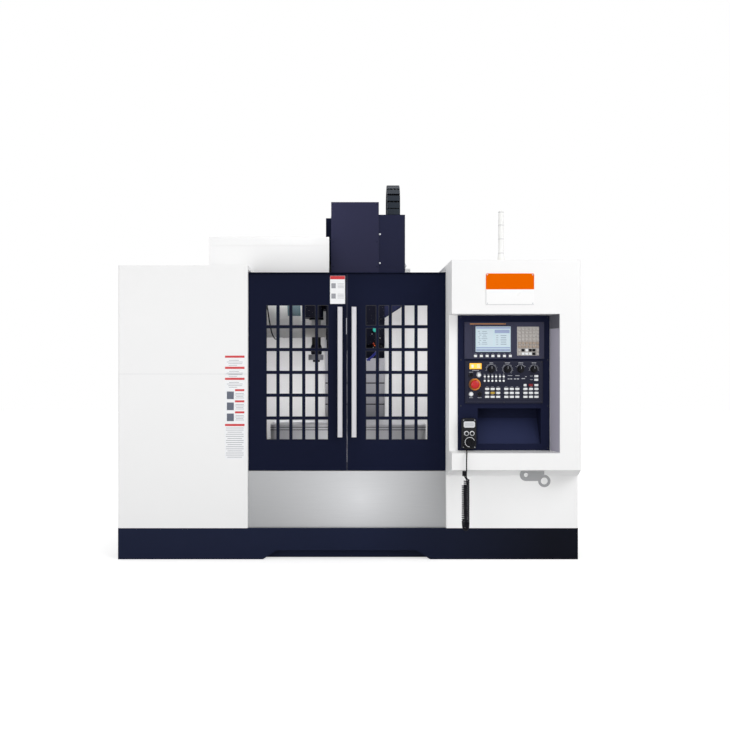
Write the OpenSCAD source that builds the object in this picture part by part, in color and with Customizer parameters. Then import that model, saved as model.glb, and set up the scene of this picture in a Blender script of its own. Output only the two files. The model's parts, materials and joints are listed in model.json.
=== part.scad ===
// Vertical machining centre with sliding doors, an arm tool changer and a
// hooded operator panel. Millimetres, +Z up, the front towards -Y. The origin
// lies on the floor under the middle of the machine.

/* [Cabinets] */
// Width of the white front left of the door opening
left_w = 780; // [760:10:820]
// Height of the base skirt
plinth_h = 187; // [160:1:210]
// Height of the cabinet roofs above the floor
cabinet_top = 1764; // [1750:1:1800]
// Depth of the folded side and roof panels
wall_t = 25; // [20:1:30]
// Thickness of the front panels
front_wall_t = 18; // [14:1:20]
// Distance from the front plane back to the spindle axis
front_to_spindle = 630; // [620:1:650]
// Width of the door opening
opening_w = 1188; // [1160:1:1200]
// Height of the door sill above the floor
sill_z = 528; // [520:1:540]
// Width of the toe recess at the floor
toe_w = 1002; // [900:1:1050]
// Height of the toe recess
toe_h = 55; // [40:1:70]

/* [Doors] */
// Thickness of a door
door_t = 30; // [26:1:34]
// How far a door reaches behind the front panel
door_lap = 20; // [15:1:30]
// Distance from the middle of the opening to a window
window_in = 113; // [100:1:125]
// Height of the lowest pane above the door's lower edge
window_up = 185; // [170:1:200]
// Panes across a door
pane_cols = 5; // [3:1:6]
// Panes up a door
pane_rows = 6; // [4:1:6]
// Width of one pane
pane_w = 63; // [50:1:70]
// Height of one pane
pane_h = 123; // [100:1:128]
// Width of a bar between two panes
bar_w = 14.5; // [10:0.5:16]
// Thickness of the safety glass
glass_t = 5; // [4:0.5:6]
// Length of a door handle
handle_l = 780; // [600:10:900]
// Width of a door handle
handle_w = 30; // [24:1:34]
// Distance from the middle of the opening to a handle
handle_in = 27; // [20:1:40]
// Space between a handle and its door
handle_gap = 23; // [18:1:30]

/* [Operator hood] */
// Width of the hood at its front
hood_w = 732; // [700:1:760]
// How much wider the hood is at its back
hood_flare = 60; // [30:1:60]
// Depth of the hood in front of the cabinets
hood_d = 320; // [300:1:340]
// Height of the hood's header
header_h = 306; // [290:1:320]
// Height of the shelf's top above the floor
shelf_z = 670; // [660:1:690]
// Height of the shelf's front lip
lip_h = 95; // [80:1:110]
// How far the underside drops towards the cabinet
chamfer_h = 72; // [50:1:80]
// Width of the hood's right pillar at its front
pillar_w = 121; // [110:1:135]
// Depth of the niche in front of the control panel
niche_d = 150; // [140:1:170]
// White margin left of the control panel
panel_margin = 50; // [45:1:60]
// Thickness of the control panel's sheet
panel_t = 6; // [4:1:8]
// Depth of the storage recess
recess_d = 112; // [80:1:120]
// Thickness of the display unit
display_t = 14; // [10:1:18]
// Thickness of the operator plate
plate_t = 8; // [6:1:10]
// Radius of a rotary knob's skirt
knob_r = 20; // [16:1:22]
// Radius of the emergency stop's mushroom head
stop_r = 25; // [20:1:28]
// Travel of the emergency stop
stop_travel = 8; // [6:1:9]
// Radius of the pendant's handwheel
wheel_r = 33; // [28:1:34]
// Height of the signal beacon's tube
beacon_h = 242; // [200:1:280]
// Width of the bare name plate
name_w = 272; // [240:1:300]
// Height of the bare name plate
name_h = 176; // [150:1:190]

/* [Structure] */
// Place of the spindle axis right of the middle
spindle_x = 48; // [40:1:56]
// Distance from the spindle axis back to the column
throat = 540; // [530:1:560]
// Width of the column
column_w = 422; // [400:1:430]
// Depth of the column
column_d = 450; // [420:1:470]
// Height of the column's top above the floor
column_top = 2224; // [2210:1:2260]
// Height of the bed's top above the floor
bed_top = 450; // [440:1:455]
// Width of the bed under the saddle
bed_w = 936; // [900:1:960]
// Height of a levelling foot
foot_h = 30; // [26:1:36]
// Width of a guide rail
rail_w = 35; // [28:1:38]
// Height of a guide rail
rail_h = 22; // [18:1:24]
// Diameter of the vertical and cross ball screws
screw_d = 40; // [32:1:42]

/* [Table] */
// Length of the table
table_l = 1000; // [940:10:1060]
// Width of the table
table_w = 500; // [460:10:505]
// Height of the table's top above the floor
table_top = 780; // [775:1:790]
// Thickness of the table
table_t = 120; // [110:1:125]
// Number of T-slots
slot_count = 5; // [3:2:5]
// Distance between two T-slots
slot_pitch = 90; // [80:1:100]
// Width of a T-slot's throat
slot_w = 18; // [14:1:22]
// Length of the saddle
saddle_l = 1356; // [1320:2:1370]
// Width of the saddle
saddle_w = 380; // [370:2:390]

/* [Spindle head] */
// Height of the spindle nose above the floor
nose_z = 1240; // [1236:1:1250]
// Width of the head casting
head_w = 376; // [350:2:380]
// Distance from the spindle axis to the head's front
head_front = 190; // [180:1:200]
// Radius of the spindle shaft
spindle_r = 45; // [40:1:50]
// Height of the head cover's top above the floor
cover_top = 2218; // [2210:1:2240]
// Thickness of the sheet covers
cover_t = 4; // [3:1:5]
// Width of the cable chain
chain_w = 92; // [76:1:92]
// Radius of the cable chain's bend
chain_r = 125; // [120:1:130]

/* [Tool changer] */
// Distance from the spindle axis to the arm's axis
arm_reach = 261; // [258:1:266]
// Number of tool pots
tool_count = 20; // [12:1:20]
// Radius of the circle of pots
pot_circle_r = 250; // [245:1:252]
// Radius of a tool pot
pot_r = 34; // [28:1:36]
// Height of the magazine's axis above the floor
magazine_z = 1640; // [1635:1:1650]
// Height of the magazine housing's top above the floor
housing_top = 1975; // [1965:1:1990]
// Thickness of the exchange arm
arm_t = 35; // [30:1:38]

/* [Rear] */
// Width of the electrical cabinet
switchgear_w = 900; // [800:10:1000]
// Height of the electrical cabinet
switchgear_h = 1560; // [1400:10:1600]
// Depth of the electrical cabinet with its door
switchgear_d = 360; // [340:5:400]
// Length of the coolant tank
tank_l = 1800; // [1600:10:1900]
// Height of the coolant tank's top above the floor
tank_h = 300; // [260:1:320]

/* [Hidden] */
$fn = 48;

// Clearance between pieces that move past each other
seat = 0.3;
// Radial clearance of a shaft in its bore
run = 0.04;
// How far a cut runs past a face
over = 1;

navy = "#1f2438";
white = "#f4f4f4";
steel = "#b9bab8";
iron = "#8f9499";
grey = "#c9cacc";
dark = "#33333b";

half_w = (left_w + opening_w + hood_w + hood_flare) / 2;
opening_x = (left_w - hood_w - hood_flare) / 2;
spindle_y = -200;
front_y = spindle_y - front_to_spindle;
open_x0 = opening_x - opening_w / 2;
open_x1 = opening_x + opening_w / 2;
column_y = spindle_y + throat;
column_back = column_y + column_d;
cabinet_back = column_y + 15;
skirt_back = column_back + 30;

door_y0 = front_y + front_wall_t + 3;
door_y1 = door_y0 + door_t;
door_z0 = sill_z + 3;
door_z1 = cabinet_top - 47;
door_w = opening_w / 2 + door_lap - 1;
window_w = pane_cols * pane_w + (pane_cols - 1) * bar_w;
window_h = pane_rows * pane_h + (pane_rows - 1) * bar_w;
window_z = door_z0 + window_up;
track_y0 = door_y1 + 8;
track_y1 = track_y0 + 14;
track_z = door_z1 - 44;
lintel_top = door_z1 + 5;
door_travel = 520;

hood_y = front_y - hood_d;
niche_y = hood_y + niche_d;
header_z = cabinet_top - header_h;
hood_x1 = open_x1 + hood_w;
pillar_x = hood_x1 - pillar_w;
pillar_back_x = pillar_x - 26;
panel_x0 = open_x1 + panel_margin;
content_x0 = panel_x0 + 8;
panel_x1 = pillar_back_x - 2;
panel_z0 = shelf_z + 2;
panel_z1 = header_z - 2;
panel_y = niche_y - panel_t;
recess_x0 = content_x0 + 108;
recess_w = 367;
recess_z0 = panel_z0 + 20;
recess_h = 224;
display_x0 = content_x0 + 30;
display_w = 461;
display_z0 = panel_z0 + 531;
display_h = 214;
screen_w = 204;
screen_h = 147;
plate_x0 = content_x0 + 34;
plate_w = 451;
plate_z0 = panel_z0 + 273;
plate_h = 247;
plate_y = panel_y - plate_t;
knob_z = panel_z0 + 471;
knob_x = [for (shift = [186, 279, 356, 433]) content_x0 + shift];
stop_x = content_x0 + 89;
stop_z = panel_z0 + 383;

bed_front = front_y + 90;
toe_d = 30;
wing_w = 320;
guard_x0 = wing_w + 100 - half_w;
guard_x1 = half_w - wing_w;
guard_y0 = bed_front - 5;
guard_y1 = column_y - 16;
guard_top = cabinet_top - 64;
y_rail_x = 330;
y_screw_z = bed_top - 52;
y_screw_r = 18;
saddle_z0 = bed_top + 48;
saddle_z1 = table_top - table_t - 60;
x_rail_y = 150;
x_screw_r = 16;
x_screw_z = saddle_z1 - 25;
x_channel_z = x_screw_z - 35;
table_z0 = table_top - table_t;

z_rail_x = 150;
carriage_y0 = column_y - 78;
carriage_y1 = column_y - 28;
carriage_h = 560;
carriage_z0 = nose_z + 100;
carriage_z1 = carriage_z0 + carriage_h;
nut_z0 = nose_z + 320;
nut_z1 = nut_z0 + 100;
nut_half = 45;
head_top = nose_z + 400;
screw_r = screw_d / 2;
chain_foot_z = 1500;
chain_rise = 406;
chain_x0 = spindle_x + column_w / 2 + 17;
z_screw_y = column_y + 25;
recess_half = 70;
cover_w = column_w + 6;
cover_gap = 0.5;
z_plate_t = 3;
z_cover_y = column_y - 31;
head_cover_l = 158;
head_cover_r = 151;
side_cover_w = 170;
side_slope_z0 = 212;
side_slope_z1 = 321;
head_cover_x0 = spindle_x - head_cover_l;
head_cover_x1 = spindle_x + head_cover_r;
side_cover_x1 = head_cover_x1 + side_cover_w;
side_cover_d = 510;
side_cover_top = cover_top - 81;
motor_half = 98;
motor_h = 440;

arm_x = spindle_x - arm_reach;
pot_x = arm_x - arm_reach;
arm_z1 = nose_z - 10;
magazine_x0 = pot_x - 104;
magazine_x1 = arm_x - 87;
magazine_r = pot_circle_r + 50;
disc_x = pot_x + 40;
disc_t = 15;
housing_x0 = magazine_x0 - 304;
housing_x1 = arm_x + 63;
housing_y0 = spindle_y - magazine_r - 20;
housing_y1 = column_y - 5;
housing_t = 12;
flap_w = 30;

gear_x0 = spindle_x - 468;
gear_x1 = gear_x0 + switchgear_w;
gear_y0 = column_back;
gear_y1 = gear_y0 + switchgear_d;
gear_z0 = 340;
gear_z1 = gear_z0 + switchgear_h;
gear_door_t = 21;
gear_front = gear_y1 - gear_door_t - 1;
hinge_x = gear_x0 - 8;
hinge_y = gear_y1 - 11;

pendant_x0 = content_x0 + 12;
pendant_w = 81;
pendant_z0 = panel_z0 + 12;
pendant_h = 176;
wheel_up = 42;
pendant_t = 45;
pendant_y0 = panel_y - seat - pendant_t;

// Route of the thin lead, from the pendant's boot over the shelf's lip
lead_points = [[676, -1066.3, 692], [676, -1084, 692], [675, -1106, 684], [674, -1130, 676],
    [672, -1150, 675], [670, -1166, 668], [668, -1176, 652], [667, -1179, 630],
    [667, -1179, 600], [667, -1179, 570], [667, -1179, 545]];
lead_r = 3.5;
coil_r = 17.5;
coil_top = [667, -1179, 545];
coil_low = 290;
coil_turn_r = 44;
coil_end_z = 534;

// Box between its lowest and its highest corner
module span(low, high) translate(low) cube(high - low);

// Outline in the Y-Z plane, extruded along X
module along_x(x0, x1) translate([x0, 0, 0]) rotate([90, 0, 90]) linear_extrude(x1 - x0) children();

// Outline in the X-Z plane, extruded along Y
module along_y(y0, y1) translate([0, y1, 0]) rotate([90, 0, 0]) linear_extrude(y1 - y0) children();

// Outline in the X-Y plane, extruded along Z
module along_z(z0, z1) translate([0, 0, z0]) linear_extrude(z1 - z0) children();

module rod_x(x0, x1, y, z, r) translate([x0, y, z]) rotate([0, 90, 0]) cylinder(h = x1 - x0, r = r);

module rod_y(y0, y1, x, z, r) translate([x, y1, z]) rotate([90, 0, 0]) cylinder(h = y1 - y0, r = r);

module rod_z(z0, z1, x, y, r) translate([x, y, z0]) cylinder(h = z1 - z0, r = r);

// Rectangle with round corners
module round_rect(x0, y0, x1, y1, r) union() {
    translate([x0 + r, y0]) square([x1 - x0 - 2 * r, y1 - y0]);
    translate([x0, y0 + r]) square([x1 - x0, y1 - y0 - 2 * r]);
    for (x = [x0 + r, x1 - r], y = [y0 + r, y1 - r]) translate([x, y]) circle(r);
}

// Mirrored about the middle of the door opening for the left side
module door_side(side) translate([opening_x, 0, 0]) mirror([side < 0 ? 1 : 0, 0, 0]) children();

// Folded panel behind the toe recess
module toe_panel() {
    y = front_y + wall_t + toe_d;
    along_x(opening_x - 3 - toe_w / 2, opening_x - 3 + toe_w / 2) polygon([
        [front_y + wall_t - over, toe_h + 12], [y - 4, toe_h + 12], [y - 4, 3], [y, 3],
        [y, toe_h + 18], [front_y + wall_t - over, toe_h + 18]]);
}

module base_skirt() color(navy) {
    skirt_shell();
    toe_panel();
}

// Skirt with a deck behind the cabinets, cut out round the bed
module skirt_shell() difference() {
    deck_t = 12;
    bed_half = bed_w / 2 - 130 + 10;
    span([-half_w, front_y, 0], [half_w, skirt_back, plinth_h]);
    span([wall_t - half_w, front_y + wall_t, -over],
         [half_w - wall_t, cabinet_back - wall_t, plinth_h + over]);
    span([wall_t - half_w, front_y + wall_t, -over],
         [half_w - wall_t, skirt_back - wall_t, plinth_h - deck_t]);
    along_z(0, plinth_h + over) polygon([
        [spindle_x - bed_w / 2 - 10, front_y + wall_t], [spindle_x + bed_w / 2 + 10, front_y + wall_t],
        [spindle_x + bed_w / 2 + 10, column_y - 10], [spindle_x + bed_half, column_y + 70],
        [spindle_x + bed_half, column_back - 30], [spindle_x - bed_half, column_back - 30],
        [spindle_x - bed_half, column_y + 70], [spindle_x - bed_w / 2 - 10, column_y - 10]]);
    along_y(front_y - over, front_y + wall_t + over) translate([opening_x - 3, 0])
        polygon([[-toe_w / 2, -over], [-toe_w / 2, 0], [-toe_w * 5 / 12, toe_h],
                 [toe_w * 5 / 12, toe_h], [toe_w / 2, 0], [toe_w / 2, -over]]);
}

module bearing_y(y0, y1, x, z, half, r) difference() {
    span([x - half - 1, y0, z - 50], [x + half + 1, y1, z + r + 14]);
    rod_y(y0 - over, y1 + over, x, z, r + run);
}

module bed() color(iron) {
    half = bed_w / 2;
    trough = 80;
    difference() {
        along_z(foot_h, bed_top) polygon([
            [spindle_x - half, bed_front], [spindle_x + half, bed_front],
            [spindle_x + half, column_y - 20], [spindle_x + half - 130, column_y + 60],
            [spindle_x + half - 130, column_back - 40], [spindle_x - half + 130, column_back - 40],
            [spindle_x - half + 130, column_y + 60], [spindle_x - half, column_y - 20]]);
        span([spindle_x - trough, bed_front - over, y_screw_z - 50],
             [spindle_x + trough, column_y + 160, bed_top + over]);
        for (side = [-1, 1], y = [bed_front + 200, bed_front + 520, bed_front + 840])
            translate([spindle_x + side * half, y, foot_h + 200])
                rotate([0, 90, 0]) translate([0, 0, -30]) cylinder(h = 60, r = 90);
    }
    for (side = [-1, 1])
        span([spindle_x + side * y_rail_x - rail_w / 2, bed_front + 20, bed_top - over],
             [spindle_x + side * y_rail_x + rail_w / 2, column_y - 50, bed_top + rail_h]);
    bearing_y(bed_front + 25, bed_front + 55, spindle_x, y_screw_z, trough, y_screw_r);
    bearing_y(column_y - 90, column_y - 50, spindle_x, y_screw_z, trough, y_screw_r);
    span([spindle_x - 48, column_y - 38, y_screw_z - 51], [spindle_x + 48, column_y + 110, y_screw_z + 45]);
}

module levelling_feet() color(dark)
    for (side = [-1, 1], y = [bed_front + 80, column_y - 80, column_back - 100])
        translate([spindle_x + side * (bed_w / 2 - 180), y, 0]) {
            cylinder(h = foot_h / 2, r = 60);
            cylinder(h = foot_h, r = 22);
            translate([0, 0, foot_h / 2]) cylinder(h = foot_h / 3, r = 32, $fn = 6);
        }

module column() color(navy) {
    half = column_w / 2;
    difference() {
        union() {
            span([spindle_x - half, column_y, bed_top], [spindle_x + half, column_back, column_top]);
            span([spindle_x + half - over, column_y + 85, chain_foot_z - 20],
                 [chain_x0 + chain_w - 1, column_y + 135, chain_foot_z]);
        }
        span([spindle_x - recess_half, column_y - over, bed_top + 110],
             [spindle_x + recess_half, column_y + 90, column_top + over]);
        for (z = [bed_top + 120, bed_top + 720, bed_top + 1320])
            along_x(spindle_x - half - over, spindle_x - half + 14)
                round_rect(column_y + 150, z, column_back - 70, z + 380, 60);
    }
    for (side = [-1, 1])
        span([spindle_x + side * z_rail_x - rail_w / 2, column_y - rail_h, bed_top + 110],
             [spindle_x + side * z_rail_x + rail_w / 2, column_y + over, column_top - 74]);
    for (z = [[bed_top + 150, bed_top + 190], [column_top - 214, column_top - 174]]) difference() {
        span([spindle_x - recess_half - over, column_y, z[0]],
             [spindle_x + recess_half + over, column_y + 90 + over, z[1]]);
        rod_z(z[0] - over, z[1] + over, spindle_x, z_screw_y, screw_r + run);
    }
    span([spindle_x - 64, column_y + 5, column_top - 169],
         [spindle_x + 64, column_y + 91, column_top - 9]);
}

// Folded cabinet shell, open to the work space on the side of x_open
module cabinet_shell(x_wall, x_open) {
    low = min(x_wall, x_open);
    high = max(x_wall, x_open);
    left = x_wall < x_open;
    difference() {
        along_z(plinth_h, cabinet_top) round_rect(low, front_y, high, cabinet_back, 10);
        span([left ? low + wall_t : low - over, front_y + front_wall_t, plinth_h - over],
             [left ? high + over : high - wall_t, cabinet_back - wall_t, cabinet_top - wall_t]);
        along_x(left ? low - over : high - 6, left ? low + 6 : high + over)
            difference() {
                round_rect(front_y + 180, plinth_h + 120, cabinet_back - 180, cabinet_top - 260, 24);
                round_rect(front_y + 192, plinth_h + 132, cabinet_back - 192, cabinet_top - 272, 14);
            }
    }
}

module left_cabinet() color(white) cabinet_shell(-half_w, open_x0);

module right_cabinet() color(white) cabinet_shell(half_w, open_x1);

module front_apron() color(steel) along_x(open_x0, open_x1) polygon([
    [door_y0 - 3, plinth_h], [door_y0 - 3, sill_z], [guard_y0, sill_z], [guard_y0, sill_z - 6],
    [door_y0 + 3, sill_z - 6], [door_y0 + 3, plinth_h]]);

module splash_guard() color(grey) {
    t = 12;
    chute_z = bed_top - 30;
    left_back = spindle_x - cover_w / 2 - 2;
    right_back = spindle_x + cover_w / 2 + 2;
    bed_x0 = spindle_x - bed_w / 2;
    bed_x1 = spindle_x + bed_w / 2;
    difference() {
        union() {
            span([guard_x0, guard_y0, chute_z - 60], [guard_x0 + t, guard_y1, guard_top]);
            span([guard_x1 - t, guard_y0, chute_z - 60], [guard_x1, guard_y1, guard_top]);
            for (part = [[guard_x0, left_back], [right_back, guard_x1]]) {
                span([part[0], guard_y1 - t, chute_z - 60], [part[1], guard_y1, guard_top]);
                for (x = [part[0] + 110 : 110 : part[1] - 60])
                    span([x, guard_y1 - t - 7, bed_top + 60], [x + 30, guard_y1 - t + over, guard_top - 30]);
            }
            span([guard_x0, guard_y0 - t, chute_z - 130], [guard_x1, guard_y0, sill_z - 6]);
            along_y(guard_y0 - over, guard_y1) polygon([[guard_x0, chute_z], [guard_x0, chute_z - t],
                [bed_x0, chute_z - 120 - t], [bed_x0, chute_z - 120]]);
            along_y(guard_y0 - over, guard_y1) polygon([[guard_x1, chute_z], [guard_x1, chute_z - t],
                [bed_x1, chute_z - 120 - t], [bed_x1, chute_z - 120]]);
        }
        span([arm_x - 92, guard_y1 - 40, magazine_z - 176], [arm_x + 52, guard_y1 + over, guard_top + over]);
        span([bed_x0 - seat, guard_y1 - t - over, chute_z - 61], [bed_x1 + seat, guard_y1 + over, bed_top + seat]);
    }
}

module magazine_housing() color(white) {
    span([housing_x1 - over, housing_y0, cabinet_top], [housing_x1 + flap_w, housing_y0 + 3, housing_top]);
    difference() {
        span([housing_x0, housing_y0, cabinet_top], [housing_x1, housing_y1, housing_top]);
        span([housing_x0 + housing_t, housing_y0 + housing_t, cabinet_top - over],
             [housing_x1 - housing_t, housing_y1 - housing_t, housing_top - housing_t]);
        difference() {
            span([housing_x0 - over, housing_y0 - over, housing_top - 58],
                 [housing_x1 + over, housing_y1 + over, housing_top - 55]);
            span([housing_x0 + 2, housing_y0 + 2, housing_top - 59],
                 [housing_x1 - 2, housing_y1 - 2, housing_top - 54]);
        }
    }
}

module door_tracks() color(navy) {
    along_x(opening_x - door_w - door_travel - 12, opening_x + door_w + door_travel + 12) polygon([
        [track_y0, track_z - 6], [track_y1 + 6, track_z - 6], [track_y1 + 6, lintel_top],
        [track_y1, lintel_top], [track_y1, track_z], [track_y0, track_z]]);
    span([open_x0, front_y, door_z1 + 2], [open_x1, track_y1 + 6, lintel_top]);
}

module door_frame(side) door_side(side) {
    difference() {
        span([1, door_y0, door_z0], [door_w, door_y1, door_z1]);
        for (col = [0 : pane_cols - 1], row = [0 : pane_rows - 1])
            translate([window_in + col * (pane_w + bar_w), door_y0 - over,
                       window_z + row * (pane_h + bar_w)])
                cube([pane_w, door_t + 2 * over, pane_h]);
    }
    for (x = [60, door_w - 60]) {
        span([x - 20, door_y1 - over, track_z - 60], [x + 20, track_y0, track_z + 22]);
        rod_y(door_y1, track_y1 - 2, x, track_z + 18.5, 18);
    }
}

module door_pane(side) door_side(side)
    span([window_in - 12, door_y1, window_z - 12],
         [window_in + window_w + 12, door_y1 + glass_t, window_z + window_h + 12]);

module door_handle(side) door_side(side) {
    middle = (door_z0 + door_z1) / 2;
    bar_y = door_y0 - handle_gap;
    along_z(middle - handle_l / 2, middle + handle_l / 2)
        round_rect(handle_in, bar_y - 20, handle_in + handle_w, bar_y, 7);
    for (z = [-handle_l / 2 + 26, handle_l / 2 - 26])
        rod_y(bar_y - over, door_y0, handle_in + handle_w / 2, middle + z, 9);
}

module left_door_frame() color(navy) door_frame(-1);

module left_door_pane() color("#a8b8c0", 0.4) door_pane(-1);

module left_door_handle() color(grey) door_handle(-1);

module right_door_frame() color(navy) door_frame(1);

module right_door_pane() color("#a8b8c0", 0.4) door_pane(1);

module right_door_handle() color(grey) door_handle(1);

// Whole outer form of the hood, before the niche is cut out of it
module hood_form() intersection() {
    along_z(0, cabinet_top) polygon([[open_x1, hood_y], [hood_x1 - 14, hood_y],
        [hood_x1 - 4, hood_y + 4], [hood_x1, hood_y + 14], [hood_x1 + hood_flare, front_y],
        [open_x1, front_y]]);
    along_x(open_x1 - over, half_w + over) polygon([[hood_y, shelf_z - lip_h],
        [hood_y, cabinet_top], [front_y, cabinet_top], [front_y, shelf_z - lip_h - chamfer_h]]);
}

module operator_hood() color(white) difference() {
    hood_form();
    along_z(shelf_z, header_z) polygon([[open_x1 - over, hood_y - over], [pillar_x, hood_y - over],
        [pillar_x, hood_y], [pillar_back_x, niche_y], [open_x1 - over, niche_y]]);
    span([recess_x0 - 6, niche_y - over, recess_z0 - 6],
         [recess_x0 + recess_w + 6, niche_y + recess_d + 6, recess_z0 + recess_h + 6]);
}

module control_panel() color(navy) {
    difference() {
        span([panel_x0, panel_y, panel_z0], [panel_x1, niche_y, panel_z1]);
        span([recess_x0, panel_y - over, recess_z0],
             [recess_x0 + recess_w, niche_y + over, recess_z0 + recess_h]);
        rod_y(panel_y - over, niche_y + over, stop_x, stop_z, 13);
    }
    difference() {
        span([recess_x0 - 4, niche_y - over, recess_z0 - 4],
             [recess_x0 + recess_w + 4, niche_y + recess_d + 4, recess_z0 + recess_h + 4]);
        span([recess_x0, niche_y - 2 * over, recess_z0],
             [recess_x0 + recess_w, niche_y + recess_d, recess_z0 + recess_h]);
    }
    span([recess_x0 - over, panel_y, recess_z0 - over],
         [recess_x0 + recess_w + over, panel_y + 3, recess_z0 + 18]);
}

// Key with a proud square cap on a plate whose front is at y
module key_cap(x, z, w, h, y) span([x - w / 2, y - 3, z - h / 2], [x + w / 2, y + over, z + h / 2]);

module display_unit() color(dark) {
    y0 = panel_y - display_t;
    screen_x = display_x0 + 63;
    screen_z = display_z0 + 41;
    difference() {
        union() {
            span([display_x0, y0, display_z0], [display_x0 + display_w, panel_y, display_z0 + display_h]);
            along_y(y0 - 4, y0 + over) round_rect(screen_x - 14, screen_z - 12,
                screen_x + screen_w + 14, screen_z + screen_h + 12, 6);
        }
        span([screen_x, y0 - 4 - over, screen_z], [screen_x + screen_w, y0 + 5, screen_z + screen_h]);
    }
    for (i = [0 : 6]) key_cap(screen_x + i * 33.5, display_z0 + 17, 18, 11, y0);
    for (col = [0 : 5], row = [0 : 7])
        key_cap(display_x0 + 317 + col * 21, display_z0 + 30 + row * 20.5, 16, 14, y0);
}

module screen() color("#c8dbee") span([display_x0 + 63, panel_y - display_t - 1, display_z0 + 41],
    [display_x0 + 63 + screen_w, panel_y - display_t + 5, display_z0 + 41 + screen_h]);

module operator_plate() color(dark) {
    difference() {
        union() {
            span([plate_x0, plate_y, plate_z0], [plate_x0 + plate_w, panel_y, plate_z0 + plate_h]);
            rod_y(plate_y - 6, plate_y + over, stop_x, stop_z, stop_r + 9);
        }
        rod_y(plate_y - 8, panel_y + over, stop_x, stop_z, stop_r / 2 + run);
        for (x = knob_x) rod_y(plate_y - over, panel_y + over, x, knob_z, 3 + run);
    }
    key_cap(plate_x0 + 60, plate_z0 + 216, 72, 34, plate_y);
    for (block = [0 : 2], col = [0 : 2], row = [0 : 2])
        key_cap(plate_x0 + 127 + block * 111 + col * 32, plate_z0 + 38 + row * 23, 24, 14, plate_y);
    for (i = [0 : 5], z = [131, 156])
        rod_y(plate_y - 4, plate_y + over, plate_x0 + 113 + i * 22, plate_z0 + z, 6);
    for (i = [0 : 2]) key_cap(plate_x0 + 348 + i * 32, plate_z0 + 106, 22, 13, plate_y);
    for (z = [137, 158]) key_cap(plate_x0 + 412, plate_z0 + z, 22, 13, plate_y);
    for (x = [34, 79]) rod_y(plate_y - 12, plate_y + over, plate_x0 + x, plate_z0 + 165, 10);
    for (x = [34, 83]) rod_y(plate_y - 6, plate_y + over, plate_x0 + x, plate_z0 + 54, 11);
}

// Rotary knob with a skirt, a grip and a pointer rib
module knob(x) color("#15151a") {
    y = plate_y - seat;
    rod_y(y - 4, y, x, knob_z, knob_r);
    rod_y(y - 22, y - 3, x, knob_z, knob_r * 0.7);
    span([x - 3, y - 24, knob_z - knob_r * 0.8], [x + 3, y - 3, knob_z + knob_r * 0.8]);
    rod_y(y - over, y + plate_t - 1, x, knob_z, 3);
}

module mode_knob() knob(knob_x[0]);

module feed_knob() knob(knob_x[1]);

module rapid_knob() knob(knob_x[2]);

module spindle_knob() knob(knob_x[3]);

module emergency_stop() color("#d02020")
    translate([stop_x, plate_y + 4, stop_z]) rotate([90, 0, 0]) rotate_extrude() polygon([
        [0, 0], [stop_r / 2, 0], [stop_r / 2, stop_travel + 13], [stop_r * 0.92, stop_travel + 13],
        [stop_r, stop_travel + 17], [stop_r, stop_travel + 24], [stop_r * 0.88, stop_travel + 30],
        [stop_r * 0.6, stop_travel + 33], [0, stop_travel + 34]]);

module pendant_body() color("#2b2b30") {
    difference() {
        along_y(pendant_y0, pendant_y0 + pendant_t) round_rect(pendant_x0, pendant_z0,
            pendant_x0 + pendant_w, pendant_z0 + pendant_h, 14);
        rod_y(pendant_y0 - over, pendant_y0 + 14, pendant_x0 + 41, pendant_z0 + wheel_up, 5 + run);
    }
    along_y(pendant_y0 - 3, pendant_y0 + over) round_rect(pendant_x0 + 7, pendant_z0 + 122,
        pendant_x0 + pendant_w - 7, pendant_z0 + 160, 10);
    for (x = [25, 57]) rod_y(pendant_y0 - 12, pendant_y0 + over, pendant_x0 + x, pendant_z0 + 90, 9);
    rod_y(pendant_y0 - 15, pendant_y0 + over, pendant_x0 + 18, pendant_z0 + 8, 6);
}

module pendant_wheel() color("#101014") {
    x = pendant_x0 + 41;
    z = pendant_z0 + wheel_up;
    y = pendant_y0 - seat;
    difference() {
        rod_y(y - 12, y, x, z, wheel_r);
        rod_y(y - 13, y - 8, x, z, wheel_r * 0.62);
    }
    rod_y(y - 16, y - 6, x, z, wheel_r * 0.22);
    rod_y(y - 24, y - 8, x + wheel_r * 0.42, z + wheel_r * 0.42, 5);
    rod_y(y - over, y + 13, x, z, 5);
}

// Closed tube of one radius along a list of points
function unit(v) = v / norm(v);
function heading(p, i) = unit(p[min(i + 1, len(p) - 1)] - p[max(i - 1, 0)]);
function ring_at(p, i, r, sides) = let (t = heading(p, i), a = unit(cross(t, [1, 0, 0])), b = cross(t, a))
    [for (k = [0 : sides - 1]) p[i] + r * (cos(360 * k / sides) * a + sin(360 * k / sides) * b)];
module tube(p, r, sides) {
    n = len(p);
    polyhedron(
        [for (i = [0 : n - 1]) each ring_at(p, i, r, sides)],
        concat([[for (k = [0 : sides - 1]) k]],
            [for (i = [0 : n - 2], k = [0 : sides - 1]) let (m = (k + 1) % sides)
                [i * sides + k, (i + 1) * sides + k, (i + 1) * sides + m, i * sides + m]],
            [[for (k = [sides - 1 : -1 : 0]) (n - 1) * sides + k]]));
}

module cord_lead() color("#18181c") tube(lead_points, lead_r, 8);

// Curly length: down in front of the shelf, round, and up to the gland behind it
module cord_coils() color("#18181c") tube(concat(
    [for (z = [coil_top[2] : -51 : coil_low]) [coil_top[0], coil_top[1], z]],
    [for (a = [20 : 20 : 160]) [coil_top[0], coil_top[1] + coil_turn_r * (1 - cos(a)),
        coil_low - coil_turn_r * sin(a)]],
    [for (z = [coil_low : 61 : coil_end_z]) [coil_top[0], coil_top[1] + 2 * coil_turn_r, z]]),
    coil_r, 12);

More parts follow.
